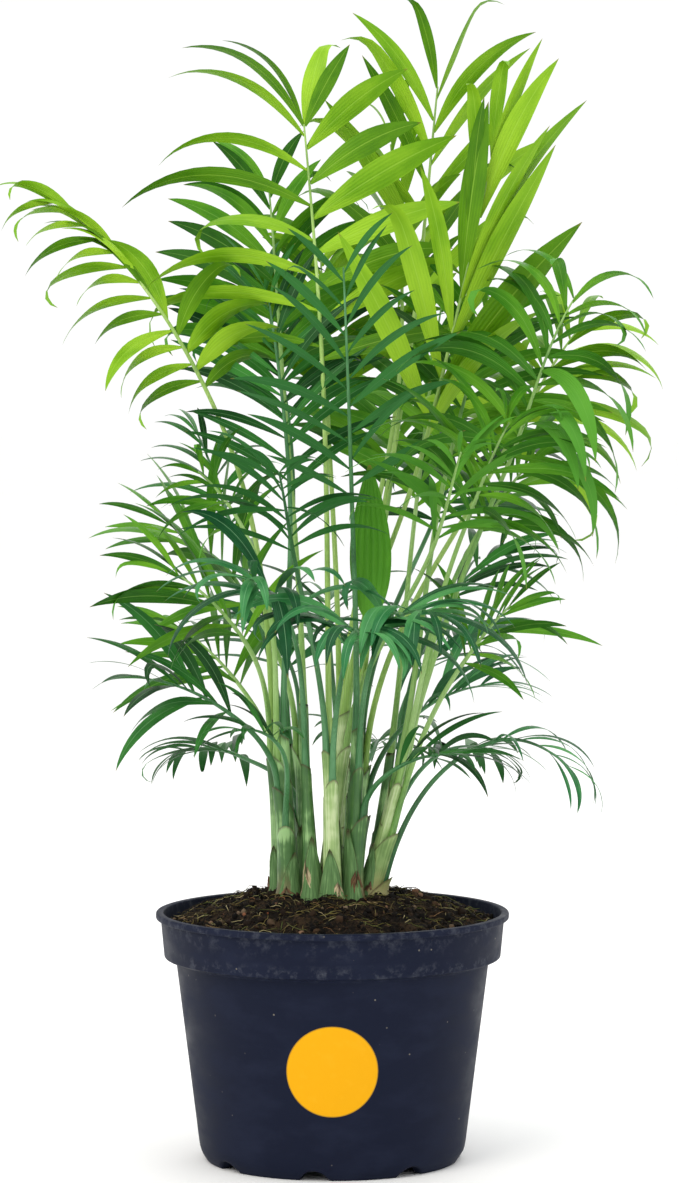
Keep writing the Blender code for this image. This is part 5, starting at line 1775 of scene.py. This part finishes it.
class PALM_OT_leaves(bpy.types.Operator):
    """Makes the leaflets of every frond, joined by colour, and the spear"""
    bl_idname = "palm.leaves"
    bl_label = "Leaves"

    def execute(self, context):
        settings = context.scene.palm_leaves
        for tint, look in LEAF_LOOKS.items():
            names = [name for name in FRONDS if FRONDS[name].tint == tint and FRONDS[name].pairs]
            sets = [leaflets_of(name, settings.width * look.width) for name in names]
            leaves = {key: np.concatenate([one[key] for one in sets]) for key in sets[0]}
            skin = leaf_cuticle(tint + "_leaf_cuticle", getattr(settings, tint), look)
            make_piece("leaves_" + tint, leaflet_surface(leaves), skin, names)
        unsplit = LEAF_LOOKS["mid"]._replace(rib_share=0.0)
        skin = leaf_cuticle("spear_cuticle", settings.mid, unsplit)
        make_piece("spear_leaf", spear_surface(), skin, ("frond_spear",))
        return {"FINISHED"}


class PALM_OT_stage(bpy.types.Operator):
    """Makes the floor, the soft lights and the camera"""
    bl_idname = "palm.stage"
    bl_label = "Stage"

    def execute(self, context):
        settings = context.scene.palm_stage
        make_floor(settings.floor)
        make_lights()
        make_camera(settings.eye, settings.pitch, settings.lens)
        return {"FINISHED"}


OPERATORS = (PALM_OT_pot, PALM_OT_label, PALM_OT_mix, PALM_OT_stems, PALM_OT_stalks,
             PALM_OT_leaves, PALM_OT_stage)
SETTINGS = {
    "palm_pot": PALM_PG_pot,
    "palm_mix": PALM_PG_mix,
    "palm_stems": PALM_PG_stems,
    "palm_leaves": PALM_PG_leaves,
    "palm_stage": PALM_PG_stage,
}


class PALM_PT_parts(bpy.types.Panel):
    """The palm's settings and one button for each group of pieces."""
    bl_label = "Parlour palm"
    bl_idname = "PALM_PT_parts"
    bl_space_type = "VIEW_3D"
    bl_region_type = "UI"
    bl_category = "Palm"

    def draw(self, context):
        layout = self.layout
        for holder, group in SETTINGS.items():
            box = layout.box()
            for key in group.__annotations__:
                box.prop(getattr(context.scene, holder), key)
        for operator in OPERATORS:
            layout.operator(operator.bl_idname)


def register():
    """Registers the settings, the operators and the panel."""
    for holder, group in SETTINGS.items():
        bpy.utils.register_class(group)
        setattr(bpy.types.Scene, holder, PointerProperty(type=group))
    for made in (*OPERATORS, PALM_PT_parts):
        bpy.utils.register_class(made)


def unregister():
    """Takes away what register added."""
    for made in (PALM_PT_parts, *reversed(OPERATORS)):
        bpy.utils.unregister_class(made)
    for holder, group in SETTINGS.items():
        delattr(bpy.types.Scene, holder)
        bpy.utils.unregister_class(group)


def main():
    """Registers the add-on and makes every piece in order."""
    register()
    for make in (bpy.ops.palm.pot, bpy.ops.palm.label, bpy.ops.palm.mix, bpy.ops.palm.stems,
                 bpy.ops.palm.stalks, bpy.ops.palm.leaves, bpy.ops.palm.stage):
        make()
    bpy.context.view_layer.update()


if __name__ == "__main__":
    main()
